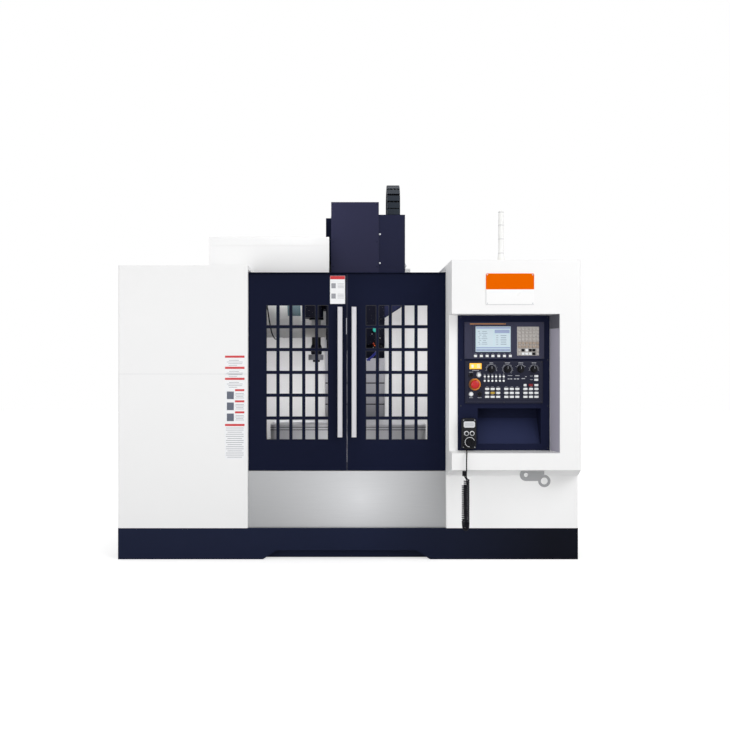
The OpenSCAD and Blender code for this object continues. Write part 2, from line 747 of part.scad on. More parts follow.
module cord_gland() color("#101014") difference() {
    rod_z(coil_end_z, coil_end_z + 60, coil_top[0], coil_top[1] + 2 * coil_turn_r, 13);
    hood_form();
    span([coil_top[0] - 20, hood_y - 60, coil_end_z + 48],
         [coil_top[0] + 20, hood_y + 200, coil_end_z + 80]);
}

module name_plate() color("#f08030")
    along_y(hood_y - 3, hood_y) round_rect(open_x1 + 192, header_z + 52,
        open_x1 + 192 + name_w, header_z + 52 + name_h, 8);

beacon_x = open_x1 + 294;
beacon_r = 15.5;
module beacon_base() color(white) translate([beacon_x, hood_y + 100, cabinet_top]) {
    cylinder(h = 6, r = beacon_r + 9);
    cylinder(h = 45, r1 = beacon_r + 7, r2 = beacon_r + 1);
}

module beacon_lamp() color(white) translate([beacon_x, hood_y + 100, cabinet_top + 45]) {
    cylinder(h = beacon_h, r = beacon_r);
    translate([0, 0, beacon_h - over]) cylinder(h = 12, r1 = beacon_r, r2 = beacon_r / 2);
}

// Holder for the air gun and the coolant hose, under the hood
module gun_bracket() color(steel) difference() {
    y = hood_y + 60;
    x = open_x1 + 395;
    union() {
        along_y(y, y + 4) union() {
            translate([x + 35, shelf_z - lip_h - 70]) square([105, 70]);
            translate([x + 35, shelf_z - lip_h - 35]) circle(35);
            translate([x + 140, shelf_z - lip_h - 70]) circle(35);
        }
        along_x(x + 35, x + 140) polygon([[y, shelf_z - lip_h - 5], [y + 40, shelf_z - lip_h - 5],
            [y + 40, shelf_z - lip_h], [y, shelf_z - lip_h]]);
    }
    rod_y(y - over, y + 5, x + 140, shelf_z - lip_h - 70, 20);
    rod_y(y - over, y + 5, x + 35, shelf_z - lip_h - 35, 12);
    hood_form();
}

module saddle() color(iron) {
    half = saddle_l / 2;
    y0 = spindle_y - saddle_w / 2;
    y1 = spindle_y + saddle_w / 2;
    difference() {
        span([spindle_x - half, y0, saddle_z0], [spindle_x + half, y1, saddle_z1]);
        span([spindle_x - half - over, spindle_y - 60, x_channel_z],
             [spindle_x + half + over, spindle_y + 60, saddle_z1 + over]);
    }
    for (side = [-1, 1], y = [spindle_y - 130, spindle_y + 130]) difference() {
        span([spindle_x + side * y_rail_x - 38, y - 45, bed_top + 4],
             [spindle_x + side * y_rail_x + 38, y + 45, saddle_z0 + over]);
        span([spindle_x + side * y_rail_x - rail_w / 2 - 0.5, y - 46, bed_top],
             [spindle_x + side * y_rail_x + rail_w / 2 + 0.5, y + 46, bed_top + rail_h + 0.5]);
    }
    for (side = [-1, 1])
        span([spindle_x - half + 4, spindle_y + side * x_rail_y - 14, saddle_z1 - over],
             [spindle_x + half - 4, spindle_y + side * x_rail_y + 14, saddle_z1 + rail_h]);
    difference() {
        span([spindle_x - 45, spindle_y - 50, y_screw_z - 36], [spindle_x + 45, spindle_y + 50, saddle_z0 + over]);
        rod_y(spindle_y - 51, spindle_y + 51, spindle_x, y_screw_z, y_screw_r + run);
    }
    for (x = [[-half, 28 - half], [half - 38, half]]) difference() {
        span([spindle_x + x[0], spindle_y - 61, x_channel_z - over],
             [spindle_x + x[1], spindle_y + 61, saddle_z1]);
        rod_x(spindle_x + x[0] - over, spindle_x + x[1] + over, spindle_y, x_screw_z, x_screw_r + run);
    }
    span([spindle_x + half - over, spindle_y - 50, x_screw_z - 55],
         [spindle_x + half + 130, spindle_y + 50, x_screw_z + 45]);
}

module table() color(iron) {
    y0 = spindle_y - table_w / 2;
    y1 = spindle_y + table_w / 2;
    difference() {
        along_z(table_z0, table_top) round_rect(-table_l / 2, y0, table_l / 2, y1, 36);
        for (i = [0 : slot_count - 1]) let (y = spindle_y + (i - (slot_count - 1) / 2) * slot_pitch)
            along_x(-table_l / 2 - over, table_l / 2 + over) {
                translate([y - slot_w / 2, table_top - 32]) square([slot_w, 33]);
                translate([y - slot_w * 0.84, table_top - 33]) square([slot_w * 1.68, 14]);
            }
    }
    for (side = [-1, 1], x = [-215, 215]) difference() {
        span([x - 50, spindle_y + side * x_rail_y - 32, saddle_z1 + 4],
             [x + 50, spindle_y + side * x_rail_y + 32, table_z0 + over]);
        span([x - 51, spindle_y + side * x_rail_y - 14.5, saddle_z1],
             [x + 51, spindle_y + side * x_rail_y + 14.5, saddle_z1 + rail_h + 0.5]);
    }
    difference() {
        span([-50, spindle_y - 40, x_screw_z - 30], [50, spindle_y + 40, table_z0 + over]);
        rod_x(-51, 51, spindle_y, x_screw_z, x_screw_r + run);
    }
}

// Side outline of the head casting
module head_form() along_x(spindle_x - head_w / 2, spindle_x + head_w / 2) {
    front = spindle_y - head_front;
    polygon([[front, nose_z + 60], [front, head_top - 40], [front + 30, head_top],
        [spindle_y + 140, head_top], [carriage_y0, carriage_z1 - 20], [carriage_y0, carriage_z1],
        [carriage_y1, carriage_z1], [carriage_y1, carriage_z0], [carriage_y0, carriage_z0],
        [spindle_y + 260, nose_z + 70], [spindle_y + 140, nose_z + 30], [front + 40, nose_z + 30]]);
}

module head() color(navy) difference() {
    union() {
        head_form();
        rod_z(nose_z + 18, nose_z + 31, spindle_x, spindle_y, spindle_r + 30);
        for (side = [-1, 1], z = [carriage_z0 + 20, carriage_z1 - 110]) difference() {
            span([spindle_x + side * z_rail_x - 35, carriage_y1 - over, z],
                 [spindle_x + side * z_rail_x + 35, column_y - 4, z + 90]);
            span([spindle_x + side * z_rail_x - rail_w / 2 - 0.5, column_y - rail_h - 0.5, z - over],
                 [spindle_x + side * z_rail_x + rail_w / 2 + 0.5, column_y, z + 91]);
        }
        span([spindle_x - nut_half, carriage_y1 - over, nut_z0],
             [spindle_x + nut_half, z_screw_y + nut_half - 5, nut_z1]);
        span([spindle_x + head_w / 2 - 30, column_y - 160, carriage_z1 - 30],
             [chain_x0 + chain_w, carriage_y1, carriage_z1]);
    }
    rod_z(nose_z, head_top + over, spindle_x, spindle_y, spindle_r + run);
    rod_z(nut_z0 - over, nut_z1 + over, spindle_x, z_screw_y, screw_r + run);
}

module head_cover() color("#353149") difference() {
    front = spindle_y - head_front;
    span([head_cover_x0, front, head_top - 40], [head_cover_x1, carriage_y0 - 4, cover_top]);
    span([head_cover_x0 + cover_t, front + cover_t, head_top - 40 - over],
         [head_cover_x1 - cover_t, carriage_y0 - 4 - cover_t, cover_top - cover_t]);
    head_form();
}

module side_cover() color("#2a2c42") difference() {
    front = spindle_y - head_front + 5;
    slope = [[head_cover_x1 + seat, nose_z + side_slope_z0], [side_cover_x1, nose_z + side_slope_z1],
             [side_cover_x1, side_cover_top], [head_cover_x1 + seat, side_cover_top]];
    along_y(front, front + side_cover_d) polygon(slope);
    span([head_cover_x1 - over, front + cover_t, nose_z + 100],
         [side_cover_x1 - cover_t, front + side_cover_d - cover_t, side_cover_top - cover_t]);
    head_form();
}

// Drip-proof motor with a finned body and a fan cowl
module spindle_motor() color("#26282e") translate([spindle_x, spindle_y, head_top]) {
    along_z(0, 24) round_rect(-104, -104, 104, 104, 12);
    difference() {
        along_z(23, motor_h) round_rect(-motor_half, -motor_half, motor_half, motor_half, 26);
        for (side = [0 : 90 : 270], shift = [-60 : 20 : 60]) rotate([0, 0, side])
            translate([shift - 4, -motor_half - over, 40]) cube([8, 11, motor_h - 60]);
    }
    along_z(motor_h - over, motor_h + 80) circle(motor_half - 6);
}

module spindle() color("#c8c8cc") difference() {
    union() {
        rod_z(nose_z, nose_z + 18 - seat, spindle_x, spindle_y, spindle_r + 18);
        rod_z(nose_z, head_top - seat, spindle_x, spindle_y, spindle_r);
    }
    translate([spindle_x, spindle_y, nose_z - 0.01]) cylinder(h = 65, r1 = 22.225, r2 = 12.745);
    rod_z(nose_z + 60, nose_z + 300, spindle_x, spindle_y, 9);
    for (side = [-1, 1]) translate([spindle_x + side * (spindle_r + 2) - 8, spindle_y - 8, nose_z - over])
        cube([16, 16, 7]);
}

// Swivelling coolant nozzles beside the spindle nose
module coolant_nozzles() color("#2f5fae") for (i = [0, 1]) {
    x = spindle_x + 92 + i * 48;
    y = spindle_y - head_front + 80;
    rod_z(nose_z - 10, nose_z + 30, x, y, 11);
    translate([x, y, nose_z - 12]) sphere(r = 13);
    translate([x, y, nose_z - 52 + i * 14]) cylinder(h = 34 - i * 14 + 4, r1 = 5, r2 = 10);
}

module z_plate(index, z0, z1) color(grey)
    span([spindle_x - cover_w / 2, z_cover_y - (index + 1) * z_plate_t - index * cover_gap, z0],
         [spindle_x + cover_w / 2, z_cover_y + 3 - (index + 1) * z_plate_t - index * cover_gap, z1]);

module z_cover_lower() z_plate(0, bed_top, carriage_z0 - 340);

module z_cover_middle() z_plate(1, carriage_z0 - 472, carriage_z0 - 180);

module z_cover_upper() z_plate(2, carriage_z0 - 319, carriage_z0);

// Folded cover over the front of the cross guides
module front_bellows() color("#26262a") {
    y0 = guard_y0 + seat;
    y1 = spindle_y - saddle_w / 2 - seat;
    folds = 14;
    pitch = (y1 - y0) / folds;
    z = bed_top + 50;
    along_x(spindle_x - 385, spindle_x + 385) polygon(concat(
        [for (i = [0 : folds]) [y0 + i * pitch, z + (i % 2) * 34]],
        [for (i = [folds : -1 : 0]) [y0 + i * pitch, z + (i % 2) * 34 - 7]]));
}

module z_screw() color(steel) rod_z(bed_top + 154, column_top - 172, spindle_x, z_screw_y, screw_r);

module y_screw() color(steel) rod_y(bed_front + 28, column_y - 45, spindle_x, y_screw_z, y_screw_r);

module x_screw() color(steel)
    rod_x(spindle_x - saddle_l / 2 + 4, spindle_x + saddle_l / 2 - 4, spindle_y, x_screw_z, x_screw_r);

// Cable chain: up from the head, over, and down beside the column
module cable_chain() color("#202226") {
    front_leg = column_y - 150;
    t = 50;
    mid_y = front_leg + chain_r;
    top = carriage_z1 + chain_rise;
    pitch = 42;
    along_x(chain_x0, chain_x0 + chain_w) difference() {
        union() {
            translate([front_leg - t / 2, carriage_z1]) square([t, top - carriage_z1]);
            translate([front_leg + 2 * chain_r - t / 2, chain_foot_z]) square([t, top - chain_foot_z]);
            intersection() {
                translate([mid_y, top]) difference() {
                    circle(chain_r + t / 2);
                    circle(chain_r - t / 2);
                }
                translate([mid_y - chain_r - t, top]) square([2 * (chain_r + t), chain_r + t]);
            }
        }
        for (z = [carriage_z1 + pitch : pitch : top], side = [-1, 1])
            translate([front_leg + side * t / 2, z]) square([16, 4], center = true);
        for (z = [chain_foot_z + pitch : pitch : top], side = [-1, 1])
            translate([front_leg + 2 * chain_r + side * t / 2, z]) square([16, 4], center = true);
        for (a = [10 : 20 : 170], r = [chain_r - t / 2, chain_r + t / 2])
            translate([mid_y, top]) rotate(a) translate([r, 0]) square([16, 4], center = true);
    }
}

module magazine_cover() color(grey) {
    difference() {
        rod_x(magazine_x0, magazine_x1, spindle_y, magazine_z, magazine_r);
        rod_x(magazine_x0 - over, magazine_x1 - 6, spindle_y, magazine_z, magazine_r - 6);
        span([pot_x - 90, spindle_y - 60, magazine_z - magazine_r - over],
             [disc_x - 2, spindle_y + 60, magazine_z - magazine_r + 40]);
    }
    rod_x(disc_x, magazine_x1 - 3, spindle_y, magazine_z, 25);
    rod_x(disc_x + disc_t + 1, magazine_x1 - 3, spindle_y, magazine_z, 60);
    rod_x(magazine_x1 - over, magazine_x1 + 6.7, spindle_y, magazine_z, 80);
}

module magazine_disc() color(iron) difference() {
    union() {
        rod_x(disc_x, disc_x + disc_t, spindle_y, magazine_z, pot_circle_r + 38);
        rod_x(disc_x - 25, disc_x + disc_t, spindle_y, magazine_z, 55);
        for (i = [0 : tool_count - 1]) translate([0, spindle_y, magazine_z])
            rotate([360 * (i + 0.5) / tool_count, 0, 0]) translate([disc_x - 95, 0, pot_circle_r])
                rotate([0, 90, 0]) cylinder(h = 96, r = pot_r);
    }
    rod_x(disc_x - 30, disc_x + disc_t + over, spindle_y, magazine_z, 25 + run);
    for (i = [0 : tool_count - 1]) translate([0, spindle_y, magazine_z])
        rotate([360 * (i + 0.5) / tool_count, 0, 0]) translate([disc_x - 95.01, 0, pot_circle_r])
            rotate([0, 90, 0]) cylinder(h = 68, r1 = 22.3, r2 = 12.4);
}

// Cam box of the tool changer, on a bracket beside the column
module atc_box() color("#3a3a42") {
    x0 = arm_x - 80;
    x1 = arm_x + 43;
    z0 = magazine_z - 166;
    difference() {
        union() {
            along_z(z0, z0 + 286) round_rect(x0, spindle_y - 120, x1, spindle_y + 140, 18);
            span([x0, spindle_y + 100, z0 + 86], [arm_x + 13, column_back - 190, z0 + 286]);
            span([arm_x + 12, column_y + 5, z0 + 86],
                 [spindle_x - column_w / 2, column_back - 190, z0 + 286]);
            rod_z(z0 + 285, z0 + 420, arm_x, spindle_y + 60, 50);
            rod_z(z0 - 12, z0 + over, arm_x, spindle_y, 48);
        }
        rod_z(z0 - 13, z0 + 100, arm_x, spindle_y, 30 + run);
        rod_z(z0 + 99, z0 + 260, arm_x, spindle_y, 36);
    }
}

module atc_shaft() color(steel) {
    rod_z(arm_z1 + seat, magazine_z + 60, arm_x, spindle_y, 30);
    rod_z(arm_z1 - arm_t - 12, arm_z1 + over, arm_x, spindle_y, 15);
    rod_z(arm_z1 - arm_t - 14, arm_z1 - arm_t - seat, arm_x, spindle_y, 24);
}

// Double exchange arm, parked along Y, with an open grip at each end
module atc_arm() color("#b0b4b8") translate([arm_x, spindle_y, 0]) difference() {
    along_z(arm_z1 - arm_t, arm_z1) union() {
        circle(45);
        polygon([[-35, -arm_reach + 30], [35, -arm_reach + 30], [42, 0],
                 [35, arm_reach - 30], [-35, arm_reach - 30], [-42, 0]]);
        for (side = [-1, 1]) translate([0, side * arm_reach]) circle(47);
    }
    for (side = [-1, 1]) translate([0, side * arm_reach, arm_z1 - arm_t - over]) {
        cylinder(h = arm_t + 2 * over, r = 31.5);
        translate([side > 0 ? 0 : -60, -25, 0]) cube([60, 50, arm_t + 2 * over]);
    }
    translate([0, 0, arm_z1 - arm_t - over]) cylinder(h = arm_t + 2 * over, r = 15 + run);
}

module electrical_cabinet() color(white) {
    t = 20;
    difference() {
        span([gear_x0, gear_y0, gear_z0], [gear_x1, gear_front, gear_z1]);
        span([gear_x0 + t, gear_y0 + t, gear_z0 + t], [gear_x1 - t, gear_front + over, gear_z1 - t]);
        for (z = [0 : 8]) span([gear_x1 - 40, gear_y0 + 90, gear_z0 + 120 + z * 24],
            [gear_x1 + over, gear_front - 90, gear_z0 + 128 + z * 24]);
    }
    span([gear_x0 + 60, gear_y0 + t - over, gear_z0 + 60], [gear_x1 - 60, gear_y0 + t + 4, gear_z1 - 60]);
    for (i = [0 : 3]) span([gear_x0 + 110 + i * 165, gear_y0 + t, gear_z0 + 900],
        [gear_x0 + 240 + i * 165, gear_y0 + 210, gear_z0 + 1350]);
    span([gear_x0 + 110, gear_y0 + t, gear_z0 + 160], [gear_x0 + 420, gear_y0 + 200, gear_z0 + 420]);
    for (row = [0, 1]) span([gear_x0 + 110, gear_y0 + t, gear_z0 + 520 + row * 170],
        [gear_x1 - 110, gear_y0 + 110, gear_z0 + 610 + row * 170]);
    for (z = hinge_heights) {
        span([hinge_x - 9, hinge_y - 34, z - 30], [gear_x0 + over, hinge_y + 9, z - 8]);
        rod_z(z - 9, z + 28, hinge_x, hinge_y, 5);
    }
}

hinge_heights = [gear_z0 + 160, gear_z0 + switchgear_h / 2, gear_z1 - 160];
switch_x = gear_x1 - 100;
switch_z = gear_z0 + switchgear_h * 0.62;

module cabinet_door() color(white) difference() {
    union() {
        difference() {
            span([gear_x0 + 4, gear_y1 - gear_door_t, gear_z0 + 5], [gear_x1 - 4, gear_y1, gear_z1 - 5]);
            for (z = hinge_heights) span([gear_x0, gear_y1 - gear_door_t - over, z - 32],
                [gear_x0 + 22, gear_y1 + over, z + 32]);
        }
        for (z = hinge_heights) {
            rod_z(z - 8 + seat, z + 26, hinge_x, hinge_y, 9);
            span([hinge_x, hinge_y - 3, z - 8 + seat], [gear_x0 + 30, hinge_y + 3, z + 26]);
        }
    }
    for (z = hinge_heights) rod_z(z - 10, z + 30, hinge_x, hinge_y, 5 + run);
    rod_y(gear_y1 - gear_door_t - over, gear_y1 + over, switch_x, switch_z, 6 + run);
    along_y(gear_y1 - 8, gear_y1 + over)
        round_rect(gear_x1 - 84, gear_z0 + 640, gear_x1 - 56, gear_z0 + 800, 8);
}

module main_switch() color("#c02020") {
    y = gear_y1 + seat;
    rod_y(y, y + 8, switch_x, switch_z, 38);
    rod_y(gear_y1 - gear_door_t + 2, y + over, switch_x, switch_z, 6);
    along_y(y + 7, y + 30) round_rect(switch_x - 9, switch_z - 34, switch_x + 9, switch_z + 34, 8);
}

module coolant_tank() color("#d8d8d8") {
    y0 = skirt_back + seat;
    y1 = gear_y1;
    difference() {
        span([-tank_l / 2, y0, 20], [tank_l / 2, y1, tank_h]);
        span([-tank_l / 2 + 8, y0 + 8, 28], [tank_l / 2 - 8, y1 - 8, tank_h - 6]);
        span([-tank_l / 2 + 90, y0 + 60, tank_h - 7], [-tank_l / 2 + 690, y1 - 60, tank_h + over]);
    }
    for (x = [-tank_l / 2 + 80, 0, tank_l / 2 - 80], y = [y0 + 60, y1 - 60]) rod_z(0, 21, x, y, 28);
    translate([tank_l / 2 - 170, (y0 + y1) / 2, tank_h - over]) {
        cylinder(h = 15, r = 105);
        cylinder(h = 90, r = 62);
        translate([0, 0, 88]) cylinder(h = 170, r = 78);
        translate([0, 0, 256]) cylinder(h = 30, r = 66);
        translate([-140, -40, 0]) cube([90, 80, 60]);
    }
}

base_skirt();
bed();
levelling_feet();
column();
left_cabinet();
right_cabinet();
front_apron();
splash_guard();
magazine_housing();
door_tracks();
operator_hood();
control_panel();
display_unit();
screen();
operator_plate();
pendant_body();
cord_lead();
cord_coils();
cord_gland();
name_plate();
beacon_base();
beacon_lamp();
gun_bracket();
magazine_cover();
atc_box();
electrical_cabinet();
coolant_tank();
z_cover_lower();
left_door_frame();
left_door_pane();
left_door_handle();
right_door_frame();
right_door_pane();
right_door_handle();
saddle();
table();
head();
head_cover();
side_cover();
spindle_motor();
spindle();
coolant_nozzles();
z_cover_middle();
z_cover_upper();
front_bellows();
z_screw();
y_screw();
x_screw();
cable_chain();
magazine_disc();
atc_shaft();
atc_arm();
cabinet_door();
main_switch();
emergency_stop();
pendant_wheel();
mode_knob();
feed_knob();
rapid_knob();
spindle_knob();
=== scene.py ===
import bpy
import bmesh
import json
import math
from contextlib import contextmanager
from mathutils import Matrix, Vector


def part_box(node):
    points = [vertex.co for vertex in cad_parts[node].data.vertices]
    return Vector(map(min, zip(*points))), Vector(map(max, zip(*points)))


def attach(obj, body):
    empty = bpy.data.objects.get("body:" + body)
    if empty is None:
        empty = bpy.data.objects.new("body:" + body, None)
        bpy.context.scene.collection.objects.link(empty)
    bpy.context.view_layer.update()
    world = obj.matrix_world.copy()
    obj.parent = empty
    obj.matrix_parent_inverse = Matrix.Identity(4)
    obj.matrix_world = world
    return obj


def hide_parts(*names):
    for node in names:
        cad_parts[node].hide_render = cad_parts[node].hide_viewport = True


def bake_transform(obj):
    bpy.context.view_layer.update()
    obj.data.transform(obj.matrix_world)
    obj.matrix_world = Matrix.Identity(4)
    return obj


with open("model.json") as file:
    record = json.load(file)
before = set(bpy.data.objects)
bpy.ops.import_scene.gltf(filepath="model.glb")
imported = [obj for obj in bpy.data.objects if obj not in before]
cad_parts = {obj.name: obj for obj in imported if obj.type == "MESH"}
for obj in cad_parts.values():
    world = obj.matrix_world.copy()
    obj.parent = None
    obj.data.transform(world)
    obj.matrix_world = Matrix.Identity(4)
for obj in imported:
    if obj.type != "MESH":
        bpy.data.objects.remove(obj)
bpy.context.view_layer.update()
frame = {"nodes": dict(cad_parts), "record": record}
NODES = frame["nodes"]


def middle(node):
    """Centre of a node's box."""
    low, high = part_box(node)
    return (low + high) / 2


# Sizes in metres, where the frame has them from there
MIDDLE_X = -0.006          # middle of the door opening
FRONT_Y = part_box("left_cabinet")[0].y
DOOR_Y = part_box("left_door_frame")[0].y
PANEL_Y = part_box("control_panel")[0].y
DISPLAY_Y = -1.020         # front face of the display unit, behind its keys
PLATE_Y = -1.014           # front face of the operator plate, behind its keys
SPINDLE = middle("spindle")
KNOBS = {name: middle(name) for name in ("mode_knob", "feed_knob", "rapid_knob", "spindle_knob")}
KNOB_Z = KNOBS["mode_knob"].z
PRINT_T = 0.0003           # thickness of a print
TO_FRONT, TO_BACK, TO_UP, TO_LEFT, TO_RIGHT = (0, -1, 0), (0, 1, 0), (0, 0, 1), (-1, 0, 0), (1, 0, 0)
ORIGIN = (0, 0, 0)


def srgb(text, alpha=1.0):
    """Linear colour of a hex colour as a designer writes it."""
    parts = [int(text[i:i + 2], 16) / 255 for i in (1, 3, 5)]
    return tuple(c / 12.92 if c <= 0.04045 else ((c + 0.055) / 1.055) ** 2.4 for c in parts) + (alpha,)


# Camera, level and square to the doors as in the photograph
PICTURE_PX = 730
VANISHING_PX = (350, 357)  # where the level edges that run back meet
camera_data = bpy.data.cameras.new("catalogue_camera")
camera = bpy.data.objects.new("catalogue_camera", camera_data)
bpy.context.scene.collection.objects.link(camera)
camera.location = (0.012, -6.330, 1.214)
camera.rotation_euler = (math.radians(90), 0, 0)
camera_data.lens = 45.2
camera_data.sensor_width = 36
camera_data.shift_x = (PICTURE_PX / 2 - VANISHING_PX[0]) / PICTURE_PX
camera_data.shift_y = (VANISHING_PX[1] - PICTURE_PX / 2) / PICTURE_PX
camera_data.clip_end = 100
bpy.context.scene.camera = camera
bpy.context.scene.view_settings.view_transform = "Standard"


# Angles, places and outlines
def spread(low, high, count):
    """Even places from low to high, both included."""
    return [low + (high - low) * i / (count - 1) for i in range(count)]


def full_turn(count, start=0.0):
    """Even angles round a full turn, start being a share of one step."""
    return [2 * math.pi * (i + start) / count for i in range(count)]


def arc_angles(first, last, count):
    """Even angles in radians between two in degrees, both included."""
    return [math.radians(a) for a in spread(first, last, count)]


def arc_points(u, v, radius, angles):
    return [(u + radius * math.cos(a), v + radius * math.sin(a)) for a in angles]


def arc_strip(u, v, outer, inner, angles):
    """Outline of a strip between two radii round a point."""
    return arc_points(u, v, outer, angles) + arc_points(u, v, inner, angles[::-1])


def rectangle(u0, v0, u1, v1):
    return [(u0, v0), (u1, v0), (u1, v1), (u0, v1)]


def round_outline(u0, v0, u1, v1, r, steps=6):
    """Rectangle with round corners."""
    corners = ((u1 - r, v1 - r, 0), (u0 + r, v1 - r, 90), (u0 + r, v0 + r, 180), (u1 - r, v0 + r, 270))
    return [point for u, v, a in corners for point in arc_points(u, v, r, arc_angles(a, a + 90, steps + 1))]


def smooth_path(points, steps=8):
    """Catmull-Rom curve through the points."""
    p = [Vector(q) for q in points]
    p = [p[0] * 2 - p[1]] + p + [p[-1] * 2 - p[-2]]
    out = []
    for i in range(1, len(p) - 2):
        for k in range(steps):
            t = k / steps
            out.append(0.5 * (2 * p[i] + (p[i + 1] - p[i - 1]) * t
                              + (2 * p[i - 1] - 5 * p[i] + 4 * p[i + 1] - p[i + 2]) * t * t
                              + (3 * p[i] - p[i - 1] - 3 * p[i + 1] + p[i + 2]) * t ** 3))
    out.append(p[-2])
    return out


def facing_front(u, v, w):
    return Vector((u, w, v))


def side_on(u, v, w):
    return Vector((w, u, v))


def lying_flat(u, v, w):
    return Vector((u, v, w))


# Mesh helpers
def new_object(name, mesh, material=None):
    piece = bpy.data.objects.new(name, mesh)
    bpy.context.scene.collection.objects.link(piece)
    if material:
        mesh.materials.append(material)
    return piece


def from_bmesh(name, bm, material=None, smooth=None):
    """Object of a finished bmesh; smooth is the angle in degrees under which edges shade smoothly."""
    bmesh.ops.remove_doubles(bm, verts=bm.verts, dist=1e-6)
    bmesh.ops.recalc_face_normals(bm, faces=bm.faces)
    mesh = bpy.data.meshes.new(name)
    if smooth:
        for edge in bm.edges:
            edge.smooth = edge.is_manifold and edge.calc_face_angle(0) < math.radians(smooth)
        for face in bm.faces:
            face.smooth = True
    bm.to_mesh(mesh)
    bm.free()
    return new_object(name, mesh, material)


@contextmanager
def new_piece(name, material, body="machine", smooth=None, slot=None):
    """Mesh to fill in a with block; at its end it becomes a piece that rides with the body."""
    bm = bmesh.new()
    yield bm
    piece = from_bmesh(name, bm, material, smooth)
    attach(piece, body)


def join_rings(bm, rings):
    """Faces between each ring of corners and the next one."""
    for low, high in zip(rings, rings[1:]):
        for k in range(len(low)):
            m = (k + 1) % len(low)
            bm.faces.new((low[k], low[m], high[m], high[k]))


def close_ends(bm, rings):
    bm.faces.new(rings[0][::-1])
    bm.faces.new(rings[-1])


def add_box(bm, low, high, bevel=0.0, segments=2):
    """Box between two corners, its edges rounded by the bevel."""
    low, high = Vector(low), Vector(high)
    made = bmesh.ops.create_cube(bm, size=1)["verts"]
    fitted = Matrix.Translation((low + high) / 2) @ Matrix.Diagonal((*(high - low), 1))
    bmesh.ops.transform(bm, verts=made, matrix=fitted)
    if bevel:
        edges = list({e for v in made for e in v.link_edges})
        bmesh.ops.bevel(bm, geom=edges, offset=bevel, segments=segments, affect="EDGES", profile=0.5)


def add_lathe(bm, profile, centre, axis, steps=32):
    """Turned solid: profile is (radius, height) along axis from centre."""
    axis = Vector(axis).normalized()
    side = axis.orthogonal().normalized()
    other = axis.cross(side)
    rings = []
    for radius, height in profile:
        foot = Vector(centre) + axis * height
        rings.append([bm.verts.new(foot + (side * math.cos(a) + other * math.sin(a)) * max(radius, 1e-5))
                      for a in full_turn(steps)])
    join_rings(bm, rings)
    close_ends(bm, rings)


def add_prism(bm, outline, low, high, place):
    """Straight prism of a closed outline; place turns (u, v, w) into a point."""
    rings = [[bm.verts.new(place(u, v, w)) for u, v in outline] for w in (low, high)]
    join_rings(bm, rings)
    close_ends(bm, rings)


def add_frame(bm, outer, wall, low, high, place):
    """Flat rectangular frame between two heights of w."""
    u0, v0, u1, v1 = outer
    rings = []
    for inset, w in ((0, low), (0, high), (wall, high), (wall, low)):
        outline = rectangle(u0 + inset, v0 + inset, u1 - inset, v1 - inset)
        rings.append([bm.verts.new(place(u, v, w)) for u, v in outline])
    join_rings(bm, rings + rings[:1])


def add_tube(bm, points, radius, sides=10):
    """Round tube along the points, closed at both ends."""
    points = [Vector(q) for q in points]
    runs = [(b - a).normalized() for a, b in zip(points, points[1:])]
    headings = [runs[0]] + [(a + b).normalized() for a, b in zip(runs, runs[1:])] + [runs[-1]]
    side = headings[0].orthogonal().normalized()
    rings = []
    for point, ahead in zip(points, headings):
        side = (side - ahead * side.dot(ahead)).normalized()
        other = ahead.cross(side)
        rings.append([bm.verts.new(point + (side * math.cos(a) + other * math.sin(a)) * radius)
                      for a in full_turn(sides)])
    join_rings(bm, rings)
    close_ends(bm, rings)


def curve_piece(name, points, radius, material, sides=4):
    """Round curve of one open spline along the points."""
    data = bpy.data.curves.new(name, "CURVE")
    data.dimensions = "3D"
    data.bevel_depth = radius
    data.bevel_resolution = sides
    data.use_fill_caps = True
    spline = data.splines.new("POLY")
    spline.points.add(len(points) - 1)
    spline.points.foreach_set("co", [c for q in points for c in (*q, 1)])
    spline.use_smooth = True
    return new_object(name, data, material)


# Geometry node trees
def tree_with(name, sockets):
    tree = bpy.data.node_groups.new(name, "GeometryNodeTree")
    tree.interface.new_socket("Geometry", in_out="OUTPUT", socket_type="NodeSocketGeometry")
    tree.interface.new_socket("Geometry", in_out="INPUT", socket_type="NodeSocketGeometry")
    for label, kind in sockets:
        tree.interface.new_socket(label, in_out="INPUT", socket_type="NodeSocket" + kind)
    return tree, tree.nodes.new("NodeGroupInput"), tree.nodes.new("NodeGroupOutput")


def named(tree, name, kind):
    node = tree.nodes.new("GeometryNodeInputNamedAttribute")
    node.data_type = kind
    node.inputs["Name"].default_value = name
    return node.outputs["Attribute"]


def make_scatter_tree():
    """Puts one shape on each point, its Z along the point's facing and its size scaled."""
    tree, start, end = tree_with("set_on_points", [("Shape", "Object"), ("Finish", "Material")])
    n, link = tree.nodes, tree.links.new
    shape = n.new("GeometryNodeObjectInfo")
    link(start.outputs["Shape"], shape.inputs["Object"])
    turn = n.new("FunctionNodeAlignRotationToVector")
    turn.axis = "Z"
    link(named(tree, "facing", "FLOAT_VECTOR"), turn.inputs["Vector"])
    put = n.new("GeometryNodeInstanceOnPoints")
    link(start.outputs["Geometry"], put.inputs["Points"])
    link(shape.outputs["Geometry"], put.inputs["Instance"])
    link(turn.outputs["Rotation"], put.inputs["Rotation"])
    link(named(tree, "size", "FLOAT_VECTOR"), put.inputs["Scale"])
    real = n.new("GeometryNodeRealizeInstances")
    link(put.outputs["Instances"], real.inputs["Geometry"])
    finish = n.new("GeometryNodeSetMaterial")
    link(real.outputs["Geometry"], finish.inputs["Geometry"])
    link(start.outputs["Finish"], finish.inputs["Material"])
    link(finish.outputs["Geometry"], end.inputs["Geometry"])
    return tree


